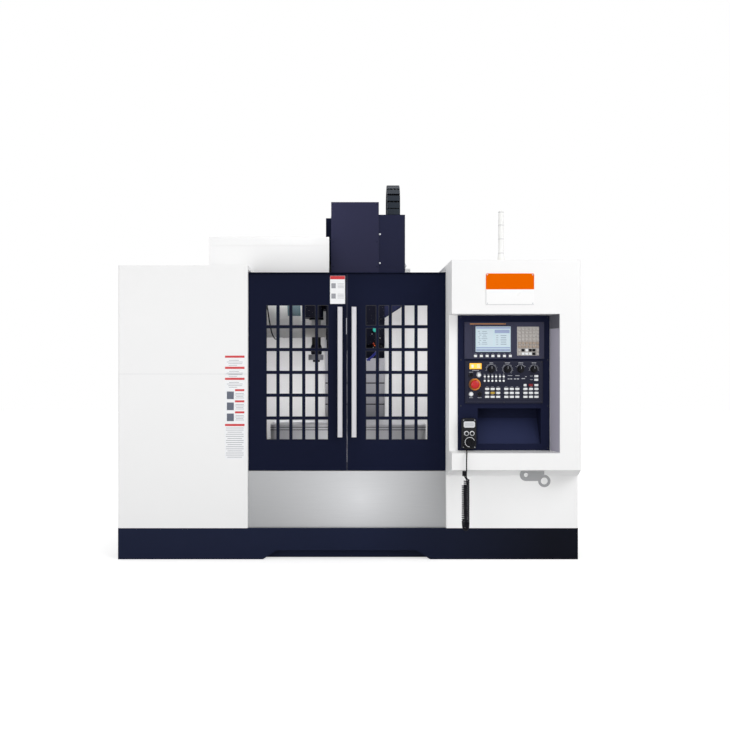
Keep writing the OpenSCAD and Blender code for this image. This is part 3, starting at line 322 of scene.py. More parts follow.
def make_ribbed_tree():
    """Round tube along a path whose wall swells at even steps, as on a corrugated conduit."""
    tree, start, end = tree_with("ribbed_conduit",
                                 [("Radius", "Float"), ("Pitch", "Float"), ("Depth", "Float"),
                                  ("Finish", "Material")])
    n, link = tree.nodes, tree.links.new
    path = n.new("GeometryNodeMeshToCurve")
    link(start.outputs["Geometry"], path.inputs["Mesh"])
    quarter = n.new("ShaderNodeMath")
    quarter.operation = "MULTIPLY"
    quarter.inputs[1].default_value = 0.25
    link(start.outputs["Pitch"], quarter.inputs[0])
    even = n.new("GeometryNodeResampleCurve")
    even.mode = "LENGTH"
    link(path.outputs["Curve"], even.inputs["Curve"])
    link(quarter.outputs[0], even.inputs["Length"])
    place = n.new("GeometryNodeSplineParameter")
    phase = n.new("ShaderNodeMath")
    phase.operation = "DIVIDE"
    link(place.outputs["Length"], phase.inputs[0])
    link(start.outputs["Pitch"], phase.inputs[1])
    wave = n.new("ShaderNodeMath")
    wave.operation = "SINE"
    full = n.new("ShaderNodeMath")
    full.operation = "MULTIPLY"
    full.inputs[1].default_value = 2 * math.pi
    link(phase.outputs[0], full.inputs[0])
    link(full.outputs[0], wave.inputs[0])
    deep = n.new("ShaderNodeMath")
    deep.operation = "MULTIPLY_ADD"
    link(wave.outputs[0], deep.inputs[0])
    link(start.outputs["Depth"], deep.inputs[1])
    link(start.outputs["Radius"], deep.inputs[2])
    swell = n.new("GeometryNodeSetCurveRadius")
    link(even.outputs["Curve"], swell.inputs["Curve"])
    link(deep.outputs[0], swell.inputs["Radius"])
    ring = n.new("GeometryNodeCurvePrimitiveCircle")
    ring.inputs["Resolution"].default_value = 14
    ring.inputs["Radius"].default_value = 1
    skin = n.new("GeometryNodeCurveToMesh")
    skin.inputs["Fill Caps"].default_value = True
    link(swell.outputs["Curve"], skin.inputs["Curve"])
    link(ring.outputs["Curve"], skin.inputs["Profile Curve"])
    link(n.new("GeometryNodeInputRadius").outputs[0], skin.inputs["Scale"])
    soft = n.new("GeometryNodeSetShadeSmooth")
    link(skin.outputs["Mesh"], soft.inputs["Geometry"])
    finish = n.new("GeometryNodeSetMaterial")
    link(soft.outputs["Geometry"], finish.inputs["Geometry"])
    link(start.outputs["Finish"], finish.inputs["Material"])
    link(finish.outputs["Geometry"], end.inputs["Geometry"])
    return tree


def run_tree(name, tree, source, values):
    """Plain mesh object of what the tree makes of the source mesh."""
    holder = bpy.data.objects.new(name + "_source", source)
    bpy.context.scene.collection.objects.link(holder)
    modifier = holder.modifiers.new("nodes", "NODES")
    modifier.node_group = tree
    for item in tree.interface.items_tree:
        if item.in_out == "INPUT" and item.name in values:
            modifier[item.identifier] = values[item.name]
    graph = bpy.context.evaluated_depsgraph_get()
    graph.update()
    mesh = bpy.data.meshes.new_from_object(holder.evaluated_get(graph))
    mesh.name = name
    holder.modifiers.remove(modifier)
    bpy.data.objects.remove(holder)
    return new_object(name, mesh)


SCATTER = make_scatter_tree()
RIBBED = make_ribbed_tree()


def stencil(name, build, smooth=30):
    """Shape that is only copied: its mesh object stays out of the scene."""
    bm = bmesh.new()
    build(bm)
    piece = from_bmesh(name, bm, None, smooth)
    bpy.context.scene.collection.objects.unlink(piece)
    return piece


def scatter(name, shape, places, material, body="machine"):
    """Copies of a shape; places are (point, facing, size), size one number or three."""
    source = bpy.data.meshes.new(name + "_points")
    source.from_pydata([place[0] for place in places], [], [])
    facing = source.attributes.new("facing", "FLOAT_VECTOR", "POINT")
    size = source.attributes.new("size", "FLOAT_VECTOR", "POINT")
    for i, place in enumerate(places):
        facing.data[i].vector = place[1]
        size.data[i].vector = place[2] if hasattr(place[2], "__len__") else (place[2],) * 3
    bpy.context.scene.collection.objects.link(shape)
    piece = run_tree(name, SCATTER, source, {"Shape": shape, "Finish": material})
    bpy.context.scene.collection.objects.unlink(shape)
    if body:
        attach(piece, body)
    return piece


def copies(name, shape, points, facing, size, material, body="machine"):
    """Copies of a shape that all face one way and have one size."""
    return scatter(name, shape, [(point, facing, size) for point in points], material, body)


def conduit(name, points, radius, pitch, depth, material):
    """Corrugated conduit along a smooth path."""
    source = bpy.data.meshes.new(name + "_path")
    path = smooth_path(points)
    source.from_pydata(path, [(i, i + 1) for i in range(len(path) - 1)], [])
    piece = run_tree(name, RIBBED, source,
                     {"Radius": radius, "Pitch": pitch, "Depth": depth, "Finish": material})
    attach(piece, "machine")


def prints(name, marks, y, material, body="machine"):
    """Printed marks in front of a face: (x, z, width, height) and, where it is turned, the angle."""
    with new_piece(name, material, body) as bm:
        for x, z, w, h, *turn in marks:
            c, t = (math.cos(turn[0]), math.sin(turn[0])) if turn else (1.0, 0.0)
            corners = [(x + u * c + v * t, z - u * t + v * c)
                       for u, v in rectangle(-w / 2, -h / 2, w / 2, h / 2)]
            add_prism(bm, corners, y - PRINT_T, y + 0.0001, facing_front)


def outline_marks(x0, z0, x1, z1, line):
    """Four thin marks round a rectangle."""
    x, z = (x0 + x1) / 2, (z0 + z1) / 2
    return [(x, z0, x1 - x0, line), (x, z1, x1 - x0, line), (x0, z, line, z1 - z0), (x1, z, line, z1 - z0)]


# Shader groups
def group_with(name, inputs, outputs):
    group = bpy.data.node_groups.new(name, "ShaderNodeTree")
    for label, kind, value in inputs:
        socket = group.interface.new_socket(label, in_out="INPUT", socket_type="NodeSocket" + kind)
        socket.default_value = value
    for label, kind in outputs:
        group.interface.new_socket(label, in_out="OUTPUT", socket_type="NodeSocket" + kind)
    return group, group.nodes.new("NodeGroupInput"), group.nodes.new("NodeGroupOutput")


def math_node(nodes, links, operation, *values, clamp=False):
    """Result of a Math node; a value is a number or another node's output."""
    node = nodes.new("ShaderNodeMath")
    node.operation = operation
    node.use_clamp = clamp
    for socket, value in zip(node.inputs, values):
        if hasattr(value, "links"):
            links.new(value, socket)
        else:
            socket.default_value = value
    return node.outputs[0]


def noise_at(nodes, links, vector, scale, detail=2, rough=0.5):
    node = nodes.new("ShaderNodeTexNoise")
    node.inputs["Detail"].default_value = detail
    node.inputs["Roughness"].default_value = rough
    links.new(vector, node.inputs["Vector"])
    if hasattr(scale, "links"):
        links.new(scale, node.inputs["Scale"])
    else:
        node.inputs["Scale"].default_value = scale
    return node.outputs["Fac"]


def scaled(nodes, links, colour, factor):
    """The colour made lighter or darker by a factor that changes over the surface."""
    node = nodes.new("ShaderNodeVectorMath")
    node.operation = "SCALE"
    links.new(colour, node.inputs[0])
    links.new(factor, node.inputs["Scale"])
    return node.outputs[0]


def clouded(nodes, links, colour, mask, amount):
    """The colour varied by a mask whose middle is one half."""
    shift = math_node(nodes, links, "SUBTRACT", mask, 0.5)
    shift = math_node(nodes, links, "MULTIPLY", shift, amount)
    return scaled(nodes, links, colour, math_node(nodes, links, "ADD", shift, 1.0))


FINISH_OUTPUTS = [("Colour", "Color"), ("Roughness", "Float"), ("Height", "Float")]


def make_coat_group():
    """Powder coat: cloudy tone, fine orange peel and a little settled dust."""
    group, start, end = group_with("powder_coat", [
        ("Colour", "Color", (1, 1, 1, 1)), ("Cloud", "Float", 0.04), ("Gloss", "Float", 0.4),
        ("Peel Scale", "Float", 700.0), ("Dust", "Float", 0.0)], FINISH_OUTPUTS)
    n, link = group.nodes, group.links
    where = n.new("ShaderNodeTexCoord").outputs["Object"]
    tint = clouded(n, link, start.outputs["Colour"], noise_at(n, link, where, 2.3, 4, 0.6),
                   start.outputs["Cloud"])
    split = n.new("ShaderNodeSeparateXYZ")
    link.new(n.new("ShaderNodeNewGeometry").outputs["Normal"], split.inputs[0])
    speck = noise_at(n, link, where, 60, 6, 0.7)
    dust = math_node(n, link, "MULTIPLY", split.outputs["Z"], speck, clamp=True)
    dust = math_node(n, link, "MULTIPLY", dust, start.outputs["Dust"], clamp=True)
    mix = n.new("ShaderNodeMix")
    mix.data_type = "RGBA"
    link.new(dust, mix.inputs["Factor"])
    link.new(tint, mix.inputs[6])
    mix.inputs[7].default_value = srgb("#b9b4aa")
    link.new(mix.outputs[2], end.inputs["Colour"])
    smear = noise_at(n, link, where, 9, 5, 0.65)
    rough = math_node(n, link, "MULTIPLY_ADD", smear, 0.16, -0.08)
    rough = math_node(n, link, "ADD", rough, start.outputs["Gloss"])
    rough = math_node(n, link, "ADD", rough, dust, clamp=True)
    link.new(rough, end.inputs["Roughness"])
    link.new(noise_at(n, link, where, start.outputs["Peel Scale"], 2, 0.5), end.inputs["Height"])
    return group


def make_brushed_group():
    """Brushed sheet: long fine streaks along one axis and slow bands of tone."""
    group, start, end = group_with("brushed_sheet", [
        ("Colour", "Color", (1, 1, 1, 1)), ("Stretch", "Vector", (2, 200, 200)), ("Contrast", "Float", 0.2),
        ("Gloss", "Float", 0.3)], FINISH_OUTPUTS)
    n, link = group.nodes, group.links
    place = n.new("ShaderNodeMapping")
    link.new(n.new("ShaderNodeTexCoord").outputs["Object"], place.inputs["Vector"])
    link.new(start.outputs["Stretch"], place.inputs["Scale"])
    streak = noise_at(n, link, place.outputs["Vector"], 6, 6, 0.75)
    link.new(clouded(n, link, start.outputs["Colour"], streak, start.outputs["Contrast"]),
             end.inputs["Colour"])
    rough = math_node(n, link, "MULTIPLY", streak, 0.25)
    rough = math_node(n, link, "ADD", rough, start.outputs["Gloss"], clamp=True)
    link.new(rough, end.inputs["Roughness"])
    link.new(streak, end.inputs["Height"])
    return group


def make_casting_group():
    """Sand casting under paint: coarse pebble and stains of uneven tone."""
    group, start, end = group_with("sand_casting", [
        ("Colour", "Color", (1, 1, 1, 1)), ("Pebble", "Float", 260.0),
        ("Stain", "Float", 0.2)], FINISH_OUTPUTS)
    n, link = group.nodes, group.links
    where = n.new("ShaderNodeTexCoord").outputs["Object"]
    pebble = n.new("ShaderNodeTexVoronoi")
    pebble.feature = "SMOOTH_F1"
    link.new(where, pebble.inputs["Vector"])
    link.new(start.outputs["Pebble"], pebble.inputs["Scale"])
    stain = noise_at(n, link, where, 7, 8, 0.7)
    link.new(clouded(n, link, start.outputs["Colour"], stain, start.outputs["Stain"]), end.inputs["Colour"])
    rough = math_node(n, link, "MULTIPLY", stain, 0.4)
    link.new(math_node(n, link, "ADD", rough, 0.3, clamp=True), end.inputs["Roughness"])
    link.new(pebble.outputs["Distance"], end.inputs["Height"])
    return group


COAT = make_coat_group()
BRUSHED = make_brushed_group()
CASTING = make_casting_group()


def finish_of(name, group, values, metallic=0.0, bump=0.0002, strength=0.3, **sockets):
    """Material of one Principled shader fed by one of the groups."""
    material = bpy.data.materials.new(name)
    material.use_nodes = True
    n, link = material.node_tree.nodes, material.node_tree.links
    shader = n["Principled BSDF"]
    source = n.new("ShaderNodeGroup")
    source.node_tree = group
    for label, value in values.items():
        source.inputs[label].default_value = value
    link.new(source.outputs["Colour"], shader.inputs["Base Color"])
    link.new(source.outputs["Roughness"], shader.inputs["Roughness"])
    raised = n.new("ShaderNodeBump")
    raised.inputs["Strength"].default_value = strength
    raised.inputs["Distance"].default_value = bump
    link.new(source.outputs["Height"], raised.inputs["Height"])
    link.new(raised.outputs["Normal"], shader.inputs["Normal"])
    shader.inputs["Metallic"].default_value = metallic
    for label, value in sockets.items():
        shader.inputs[label.replace("_", " ")].default_value = value
    return material


def coat(name, colour, gloss=0.38, cloud=0.05, peel=650.0, dust=0.0, sheen=0.5, **more):
    return finish_of(name, COAT, {"Colour": srgb(colour), "Gloss": gloss, "Cloud": cloud, "Peel Scale": peel,
                                  "Dust": dust}, Specular_IOR_Level=sheen, **more)


def sheet_metal(name, colour, stretch, contrast=0.25, gloss=0.28, metallic=1.0, **more):
    return finish_of(name, BRUSHED, {"Colour": srgb(colour), "Stretch": stretch, "Contrast": contrast,
                                     "Gloss": gloss}, metallic=metallic, bump=0.00005, strength=0.4, **more)


def casting(name, colour, pebble=260.0, stain=0.25, **more):
    return finish_of(name, CASTING, {"Colour": srgb(colour), "Pebble": pebble, "Stain": stain}, bump=0.0004,
                     **more)


# Finishes
navy = coat("navy_powder_coat", "#10152b", 0.48, 0.10, sheen=0.05)
navy_base = coat("skirt_powder_coat", "#161d35", 0.50, 0.12, sheen=0.10, dust=0.02)
white = coat("white_powder_coat", "#f4f4f4", 0.40, 0.012)
liner = coat("liner_paint", "#dddcdd", 0.36, 0.03)
cover_paint = coat("head_cover_paint", "#262741", 0.46, 0.10, sheen=0.14)
head_paint = coat("head_casting_paint", "#0f101d", 0.50, 0.12, sheen=0.08)
side_paint = coat("side_cover_paint", "#1b1e38", 0.46, 0.10, sheen=0.12)
panel_paint = coat("panel_face_paint", "#1c2038", 0.46, 0.06, sheen=0.03)
dark_paint = coat("dark_grey_paint", "#2c2a30", 0.45, 0.1, sheen=0.25)
bezel = coat("display_bezel_plastic", "#333449", 0.50, 0.05, peel=1500.0, sheen=0.20)
# A lighter copy of the panel's paint: painted light on the recess tray.
recess_tray_lit_paint = coat("recess_tray_lit_paint", "#2b3150", 0.46, 0.06, sheen=0.05)
plate_film = coat("operator_plate_film", "#1b1d30", 0.46, 0.04, peel=1800.0, sheen=0.2)
pendant_shell = coat("pendant_shell_plastic", "#15151a", 0.50, 0.08, peel=1500.0, sheen=0.25)
black_plastic = coat("moulded_black", "#0f0f15", 0.35, 0.06, peel=1500.0, sheen=0.15)
red_plastic = coat("mushroom_red", "#c3161a", 0.25, 0.04, peel=1500.0)
dark_red = coat("arrow_red", "#7c0c10", 0.3, 0.04, peel=1500.0)
yellow_plastic = coat("collar_yellow", "#d98624", 0.35, 0.05, peel=1500.0)
white_key = coat("key_white", "#eef0f2", 0.35, 0.03, peel=1600.0)
grey_key = coat("key_grey", "#b9b4b0", 0.42, 0.05, peel=1600.0)
beige_key = coat("key_beige", "#a8988a", 0.42, 0.05, peel=1600.0)
amber_key = coat("key_amber", "#c3a03c", 0.35, 0.04, peel=1600.0)
red_key = coat("key_red", "#82101c", 0.35, 0.04, peel=1600.0)
cord_rubber = coat("cord_sheath", "#0d0d16", 0.50, 0.10, peel=2200.0, sheen=0.15)
bellows_cloth = coat("bellows_cloth", "#232327", 0.68, 0.15, peel=1400.0, dust=0.15)
chain_plastic = coat("chain_link_plastic", "#1f2833", 0.5, 0.1, peel=1200.0, dust=0.03, sheen=0.25)
drum_paint = coat("drum_cover_paint", "#eeeeec", 0.40, 0.02)
beacon_yellow = coat("beacon_yellow", "#e2c53c", 0.32, 0.04, peel=1500.0)
beacon_grey = coat("beacon_ring_grey", "#b9babd", 0.32, 0.04, peel=1500.0)
# Grey of the sheet under the drum: painted shade.
drum_shade_grey = coat("drum_shade_paint", "#b4b2ae", 0.4, 0.04)
shaft_paint = coat("changer_shaft", "#c6c7ca", 0.30, 0.04, sheen=0.1)
arm_metal = casting("changer_arm_casting", "#85868c", 300.0, 0.12, metallic=0.2)
drum_window = coat("drum_window_tint", "#6f868e", 0.2, 0.05, peel=1500.0)
window_grey = coat("pendant_window_grey", "#d4d5d8", 0.32, 0.03, peel=1500.0)
motor_paint = coat("motor_paint", "#222429", 0.42, 0.1, dust=0.08)
beacon_white = coat("beacon_diffuser", "#f3f3f1", 0.22, 0.01, peel=900.0)
orange_paint = coat("plate_orange", "#e86400", 0.42, 0.03, peel=1200.0, sheen=0.0)
housing_white = coat("housing_white_coat", "#f0f0f0", 0.42, 0.012)
# Painted shade: the darker paint of the niche wall and the dark block at its top.
niche_liner = coat("niche_wall_shade_paint", "#afacba", 0.45, 0.03, sheen=0.2)
niche_block = coat("niche_top_shadow_paint", "#606068", 0.5, 0.06, sheen=0.2)
plate_white = coat("plate_white", "#f7f7f7", 0.30, 0.01, peel=1200.0)
nozzle_blue = coat("nozzle_blue", "#16207c", 0.34, 0.06, peel=1600.0)
nozzle_orange = coat("nozzle_orange", "#e4571c", 0.34, 0.06, peel=1600.0)
tank_paint = coat("tank_paint", "#e9eaec", 0.42, 0.03, dust=0.1)
seal_rubber = coat("door_seal_rubber", "#141519", 0.62, 0.1, peel=1300.0)
legend_grey = coat("legend_print", "#a7a9b0", 0.5, 0.04, peel=1500.0)
outline_print = coat("outline_print", "#3d3f52", 0.5, 0.04, peel=1500.0, sheen=0.2)
legend_white = coat("legend_print_white", "#e6e7ea", 0.5, 0.03, peel=1500.0)
sticker_white = coat("sticker_white", "#f3f4f6", 0.32, 0.01, peel=1500.0)
sticker_red = coat("sticker_red", "#cf2a30", 0.32, 0.03, peel=1500.0)
print_grey = coat("sticker_print_grey", "#9a9ca3", 0.4, 0.04, peel=1500.0)
print_dark = coat("sticker_print_dark", "#5a6070", 0.4, 0.04, peel=1500.0)
seam_shadow = coat("seam_shadow", "#d6d7d9", 0.5, 0.02)
edge_strip = coat("door_edge_strip", "#23263a", 0.4, 0.05, peel=1500.0, sheen=0.25)
latch_metal = sheet_metal("latch_plate", "#b7b8c2", (200, 200, 2.0), 0.15, 0.3, metallic=0.4)
copper_strip = coat("strip_copper", "#b98052", 0.30, 0.05, peel=1500.0, metallic=0.6)
plinth_iron = casting("bed_casting", "#7f858a", 240.0, 0.3, metallic=0.0)
machine_iron = casting("table_casting", "#b4b4b8", 300.0, 0.2)
ground_steel = sheet_metal("ground_steel", "#c2c4c6", (3, 260, 260), 0.2, 0.18)
apron_steel = sheet_metal("apron_steel", "#c9cacc", (1.2, 260, 260), 0.35, 0.30)
guide_steel = sheet_metal("guide_steel", "#8d8d92", (260, 260, 2.2), 0.25, 0.34, metallic=0.5)
wiper_rubber = coat("wiper_rubber", "#1d1c20", 0.6, 0.1, peel=1500.0)
hose_black = coat("hose_black", "#1a1a1d", 0.42, 0.1, peel=1800.0)
satin_bar = sheet_metal("handle_satin", "#cccbd0", (240, 240, 2.0), 0.10, 0.34, metallic=0.35)
zinc = sheet_metal("screw_zinc", "#b8bbbf", (90, 90, 90), 0.15, 0.22)
black_oxide = sheet_metal("screw_black", "#3a3b40", (90, 90, 90), 0.15, 0.34, metallic=0.9)
chrome_ring = sheet_metal("ring_chrome", "#d6d8dc", (60, 60, 60), 0.05, 0.10)


def glass_material(name, colour, alpha, rough=0.02):
    """Clear pane, mostly seen through, with a smeared gloss."""
    material = bpy.data.materials.new(name)
    material.use_nodes = True
    n, link = material.node_tree.nodes, material.node_tree.links
    shader = n["Principled BSDF"]
    shader.inputs["Base Color"].default_value = srgb(colour)
    shader.inputs["Alpha"].default_value = alpha
    shader.inputs["Specular IOR Level"].default_value = 0.08
    smear = noise_at(n, link, n.new("ShaderNodeTexCoord").outputs["Object"], 7, 5, 0.7)
    link.new(math_node(n, link, "MULTIPLY_ADD", smear, 0.10, rough), shader.inputs["Roughness"])
    return material


def lit_material(name, colour, strength, spread_of_tone=0.04):
    """Backlit plastic: the colour glows a little, unevenly."""
    material = finish_of(name, COAT, {"Colour": srgb(colour), "Gloss": 0.2, "Cloud": spread_of_tone,
                                      "Peel Scale": 900.0})
    n, link = material.node_tree.nodes, material.node_tree.links
    shader = n["Principled BSDF"]
    source = next(x for x in n if x.type == "GROUP")
    link.new(source.outputs["Colour"], shader.inputs["Emission Color"])
    shader.inputs["Emission Strength"].default_value = strength
    return material


door_glass = glass_material("door_safety_glass", "#0c1214", 0.03)
screen_glow = lit_material("screen_glow", "#b9cdd4", 0.22)
amber_glow = lit_material("lamp_amber", "#ffc04a", 0.5, 0.15)
work_glow = lit_material("work_light_diffuser", "#fbfbff", 1.2)
teal_glow = lit_material("button_teal", "#2a9d90", 0.25)


def painted_light_band(material, centre, reach, low, high, shape="LINEAR", turn=0.0):
    """Multiplies the base colour by a gradient between low and high, as painted light and shade; turn is
    about Y, in degrees.
    """
    n, link = material.node_tree.nodes, material.node_tree.links
    shader = n["Principled BSDF"]
    plain = shader.inputs["Base Color"].links[0].from_socket
    place = n.new("ShaderNodeMapping")
    place.vector_type = "TEXTURE"
    place.inputs["Location"].default_value = centre
    place.inputs["Rotation"].default_value = (0, math.radians(turn), 0)
    place.inputs["Scale"].default_value = reach
    link.new(n.new("ShaderNodeTexCoord").outputs["Object"], place.inputs["Vector"])
    glow = n.new("ShaderNodeTexGradient")
    glow.gradient_type = shape
    link.new(place.outputs["Vector"], glow.inputs["Vector"])
    span = n.new("ShaderNodeMapRange")
    span.inputs["To Min"].default_value = low
    span.inputs["To Max"].default_value = high
    link.new(glow.outputs["Fac"], span.inputs["Value"])
    link.new(scaled(n, link, plain, span.outputs["Result"]), shader.inputs["Base Color"])


# Painted sheen: the apron's steel lighter in its middle and darker towards its ends.
painted_light_band(apron_steel, (0.08, -0.83, 0.36), (0.95, 0.95, 0.95), 0.60, 1.26, "QUADRATIC_SPHERE")
# Painted shade: the drum cover darker towards its underside.
painted_light_band(drum_paint, (0, 0, 1.335), (0.085, 1, 1), 0.10, 1.10, turn=-90)
# Painted shade: the changer's shaft darker towards its foot.
painted_light_band(shaft_paint, (0, 0, 1.36), (0.05, 1, 1), 0.03, 1.0, turn=-90)
# Painted light: the Z covers lighter towards the top.
painted_light_band(guide_steel, (0, 0, 0.80), (0.42, 1, 1), 0.92, 2.2, turn=-90)
# Painted shade: the stop's collar darker on its left side.
painted_light_band(yellow_plastic, (0.702, 0, 0), (0.05, 1, 1), 0.20, 1.25)
# Painted shade: the skirt darker towards the right.
painted_light_band(navy_base, (0.10, 0, 0), (1.1, 1, 1), 1.0, 0.22)

# Finishes of the part's own nodes, by slot or by node
SLOT_FINISH = {
    "navy_paint": navy, "navy_base": navy_base, "white_paint": white, "stainless": apron_steel,
    "liner_grey": liner, "cast_iron": machine_iron, "ground_steel": ground_steel, "dark_paint": dark_paint,
    "cover_paint": cover_paint, "panel_dark": bezel, "screen_glass": screen_glow, "nozzle_blue": nozzle_blue,
    "pendant_plastic": pendant_shell, "black_plastic": black_plastic, "red_plastic": red_plastic,
    "cord_rubber": cord_rubber, "bellows_rubber": bellows_cloth, "chain_plastic": chain_plastic,
    "plate_orange": orange_paint, "beacon_white": beacon_white, "door_glass": door_glass,
    "satin_metal": satin_bar, "motor_paint": motor_paint,
}
NODE_FINISH = {
    "bed": plinth_iron, "operator_plate": plate_film, "coolant_tank": tank_paint, "head": head_paint,
    "z_cover_lower": guide_steel, "z_cover_middle": guide_steel, "z_cover_upper": guide_steel,
    "levelling_feet": zinc, "magazine_cover": drum_paint, "side_cover": side_paint,
    "control_panel": panel_paint, "magazine_housing": housing_white, "atc_box": head_paint,
    "atc_arm": arm_metal, "atc_shaft": shaft_paint,
}
for entry in frame["record"]["subparts"]:
    node = NODES[entry["node"]]
    finish = NODE_FINISH.get(entry["node"], SLOT_FINISH[entry["material_slot"]])
    if not node.data.materials:
        node.data.materials.append(finish)
    for held in node.material_slots:
        held.material = finish

# Pendant cord: the lead hangs free, then the coil goes down, turns and comes up to its gland
CORD_R = 0.0035
LEAD = [(0.676, -1.0663, 0.692), (0.676, -1.084, 0.692), (0.675, -1.106, 0.684), (0.674, -1.130, 0.676),
        (0.672, -1.150, 0.675), (0.670, -1.166, 0.668), (0.668, -1.176, 0.652), (0.667, -1.179, 0.630),
        (0.667, -1.179, 0.605), (0.667, -1.179, 0.579)]
COIL_X, COIL_Y, COIL_TOP, COIL_LOW, COIL_END = 0.667, -1.179, 0.545, 0.290, 0.534
TURN_R, WIND_R, PITCH = 0.044, 0.014, 0.0106
STEP_IN, STEP_POINTS = 0.034, 12                        # from the coil's axis out to the winding
EASE_ARC, EASE_STEPS, WIND_STEP = 0.036, 8, 0.0063      # into the winding's slope


def coil_axis(s):
    """Point, heading and inward side of the coil's own centre line at distance s."""
    down, bend = COIL_TOP - COIL_LOW, math.pi * TURN_R
    if s < down:
        return Vector((COIL_X, COIL_Y, COIL_TOP - s)), Vector((0, 0, -1)), Vector((0, 1, 0))
    if s < down + bend:
        a = (s - down) / TURN_R
        point = Vector((COIL_X, COIL_Y + TURN_R * (1 - math.cos(a)), COIL_LOW - TURN_R * math.sin(a)))
        return point, Vector((0, math.sin(a), -math.cos(a))), Vector((0, math.cos(a), math.sin(a)))
    return (Vector((COIL_X, COIL_Y + 2 * TURN_R, COIL_LOW + s - down - bend)), Vector((0, 0, 1)),
            Vector((0, -1, 0)))


def beside_axis(s, radius, angle):
    """Point at a radius and angle round the coil's centre line at distance s."""
    centre, ahead, inward = coil_axis(s)
    return centre + (inward * math.cos(angle) + ahead.cross(inward) * math.sin(angle)) * radius


def cord_points():
    """The lead, then the winding, which steps out from the axis, turns round it and steps back."""
    total = COIL_TOP - COIL_LOW + math.pi * TURN_R + COIL_END - COIL_LOW
    easing = [math.pi / 4 * (1 - math.cos(math.pi * (k + 0.5) / EASE_STEPS)) for k in range(EASE_STEPS)]
    ease_rise = sum(math.cos(a) for a in easing) * EASE_ARC / EASE_STEPS
    slope = PITCH / math.hypot(PITCH, 2 * math.pi * WIND_R)
    wound = total - 2 * ease_rise - STEP_IN
    count = round(wound / (WIND_STEP * slope))
    flat = math.acos(wound / (count * WIND_STEP))
    steps = [(a * flat * 2 / math.pi, EASE_ARC / EASE_STEPS) for a in easing]
    steps = steps + [(flat, WIND_STEP)] * count + steps[::-1]
    points = smooth_path(LEAD, 4)
    stepping = [(k / STEP_POINTS, math.cos(math.pi * k / STEP_POINTS)) for k in range(1, STEP_POINTS + 1)]
    points += [beside_axis(STEP_IN * (share - 1), WIND_R * (1 - wave) / 2, 0) for share, wave in stepping]
    s = angle = 0.0
    for lean, length in steps:
        s += length * math.cos(lean)
        angle += length * math.sin(lean) / WIND_R
        points.append(beside_axis(s, WIND_R, angle))
    points += [beside_axis(s + STEP_IN * share, WIND_R * (1 + wave) / 2, angle) for share, wave in stepping]
    return points


route = cord_points()
cord = curve_piece("pendant_cord", route, CORD_R, cord_rubber, 3)
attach(cord, "machine")
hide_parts("cord_lead", "cord_coils")


# Studio: pale floor and backdrop, soft lights
def studio_floor(reach, height, tone):
    mesh = bpy.data.meshes.new("studio_floor")
    mesh.from_pydata([(u, v, height) for u, v in rectangle(*reach)], [], [(0, 1, 2, 3)])
    material = bpy.data.materials.new("studio_floor_paint")
    material.use_nodes = True
    n, link = material.node_tree.nodes, material.node_tree.links
    shader = n["Principled BSDF"]
    shader.inputs["Base Color"].default_value = (tone, tone, tone, 1)
    shader.inputs["Roughness"].default_value = 0.9
    shader.inputs["Specular IOR Level"].default_value = 0.1
    shader.inputs["Emission Color"].default_value = (1, 1, 1, 1)
    seen_here = n.new("ShaderNodeLightPath").outputs["Is Camera Ray"]
    link.new(math_node(n, link, "MULTIPLY", seen_here, 0.56), shader.inputs["Emission Strength"])
    new_object("studio_floor", mesh, material)


def studio_world():
    """White where it is seen or mirrored, a softer white as a light."""
    world = bpy.data.worlds.new("studio")
    bpy.context.scene.world = world
    world.use_nodes = True
    n, link = world.node_tree.nodes, world.node_tree.links
    rays = n.new("ShaderNodeLightPath").outputs
    seen = math_node(n, link, "MAXIMUM", rays["Is Camera Ray"], rays["Is Glossy Ray"])
    seen = math_node(n, link, "MAXIMUM", seen, rays["Is Transmission Ray"])
    choose = n.new("ShaderNodeMixShader")
    link.new(seen, choose.inputs["Fac"])
    for i, (sky, strength) in enumerate(((n["Background"], 0.68), (n.new("ShaderNodeBackground"), 1.0))):
        sky.inputs["Color"].default_value = (1, 1, 1, 1)
        sky.inputs["Strength"].default_value = strength
        link.new(sky.outputs[0], choose.inputs[i + 1])
    link.new(choose.outputs[0], n["World Output"].inputs["Surface"])


def area_light(name, place, target, size, power):
    """Soft light; size is (width, height)."""
    data = bpy.data.lights.new(name, "AREA")
    data.shape = "RECTANGLE"
    data.size, data.size_y = size
    data.energy = power
    lamp = bpy.data.objects.new(name, data)
    bpy.context.scene.collection.objects.link(lamp)
    lamp.location = place
    lamp.rotation_euler = (Vector(target) - Vector(place)).to_track_quat("-Z", "Y").to_euler()
    return lamp


studio_floor((-14, -12, 14, 14), -0.0005, 0.70)
studio_world()
area_light("key_softbox", (3.4, -5.2, 3.8), (0, -0.6, 1.0), (3.0, 3.0), 100)
area_light("fill_softbox", (-2.6, -6.4, 1.3), (0.0, -0.6, 0.9), (3.2, 2.4), 56)
area_light("top_softbox", (0, 0.6, 5.2), (0, 0, 0.8), (3.0, 3.0), 44)

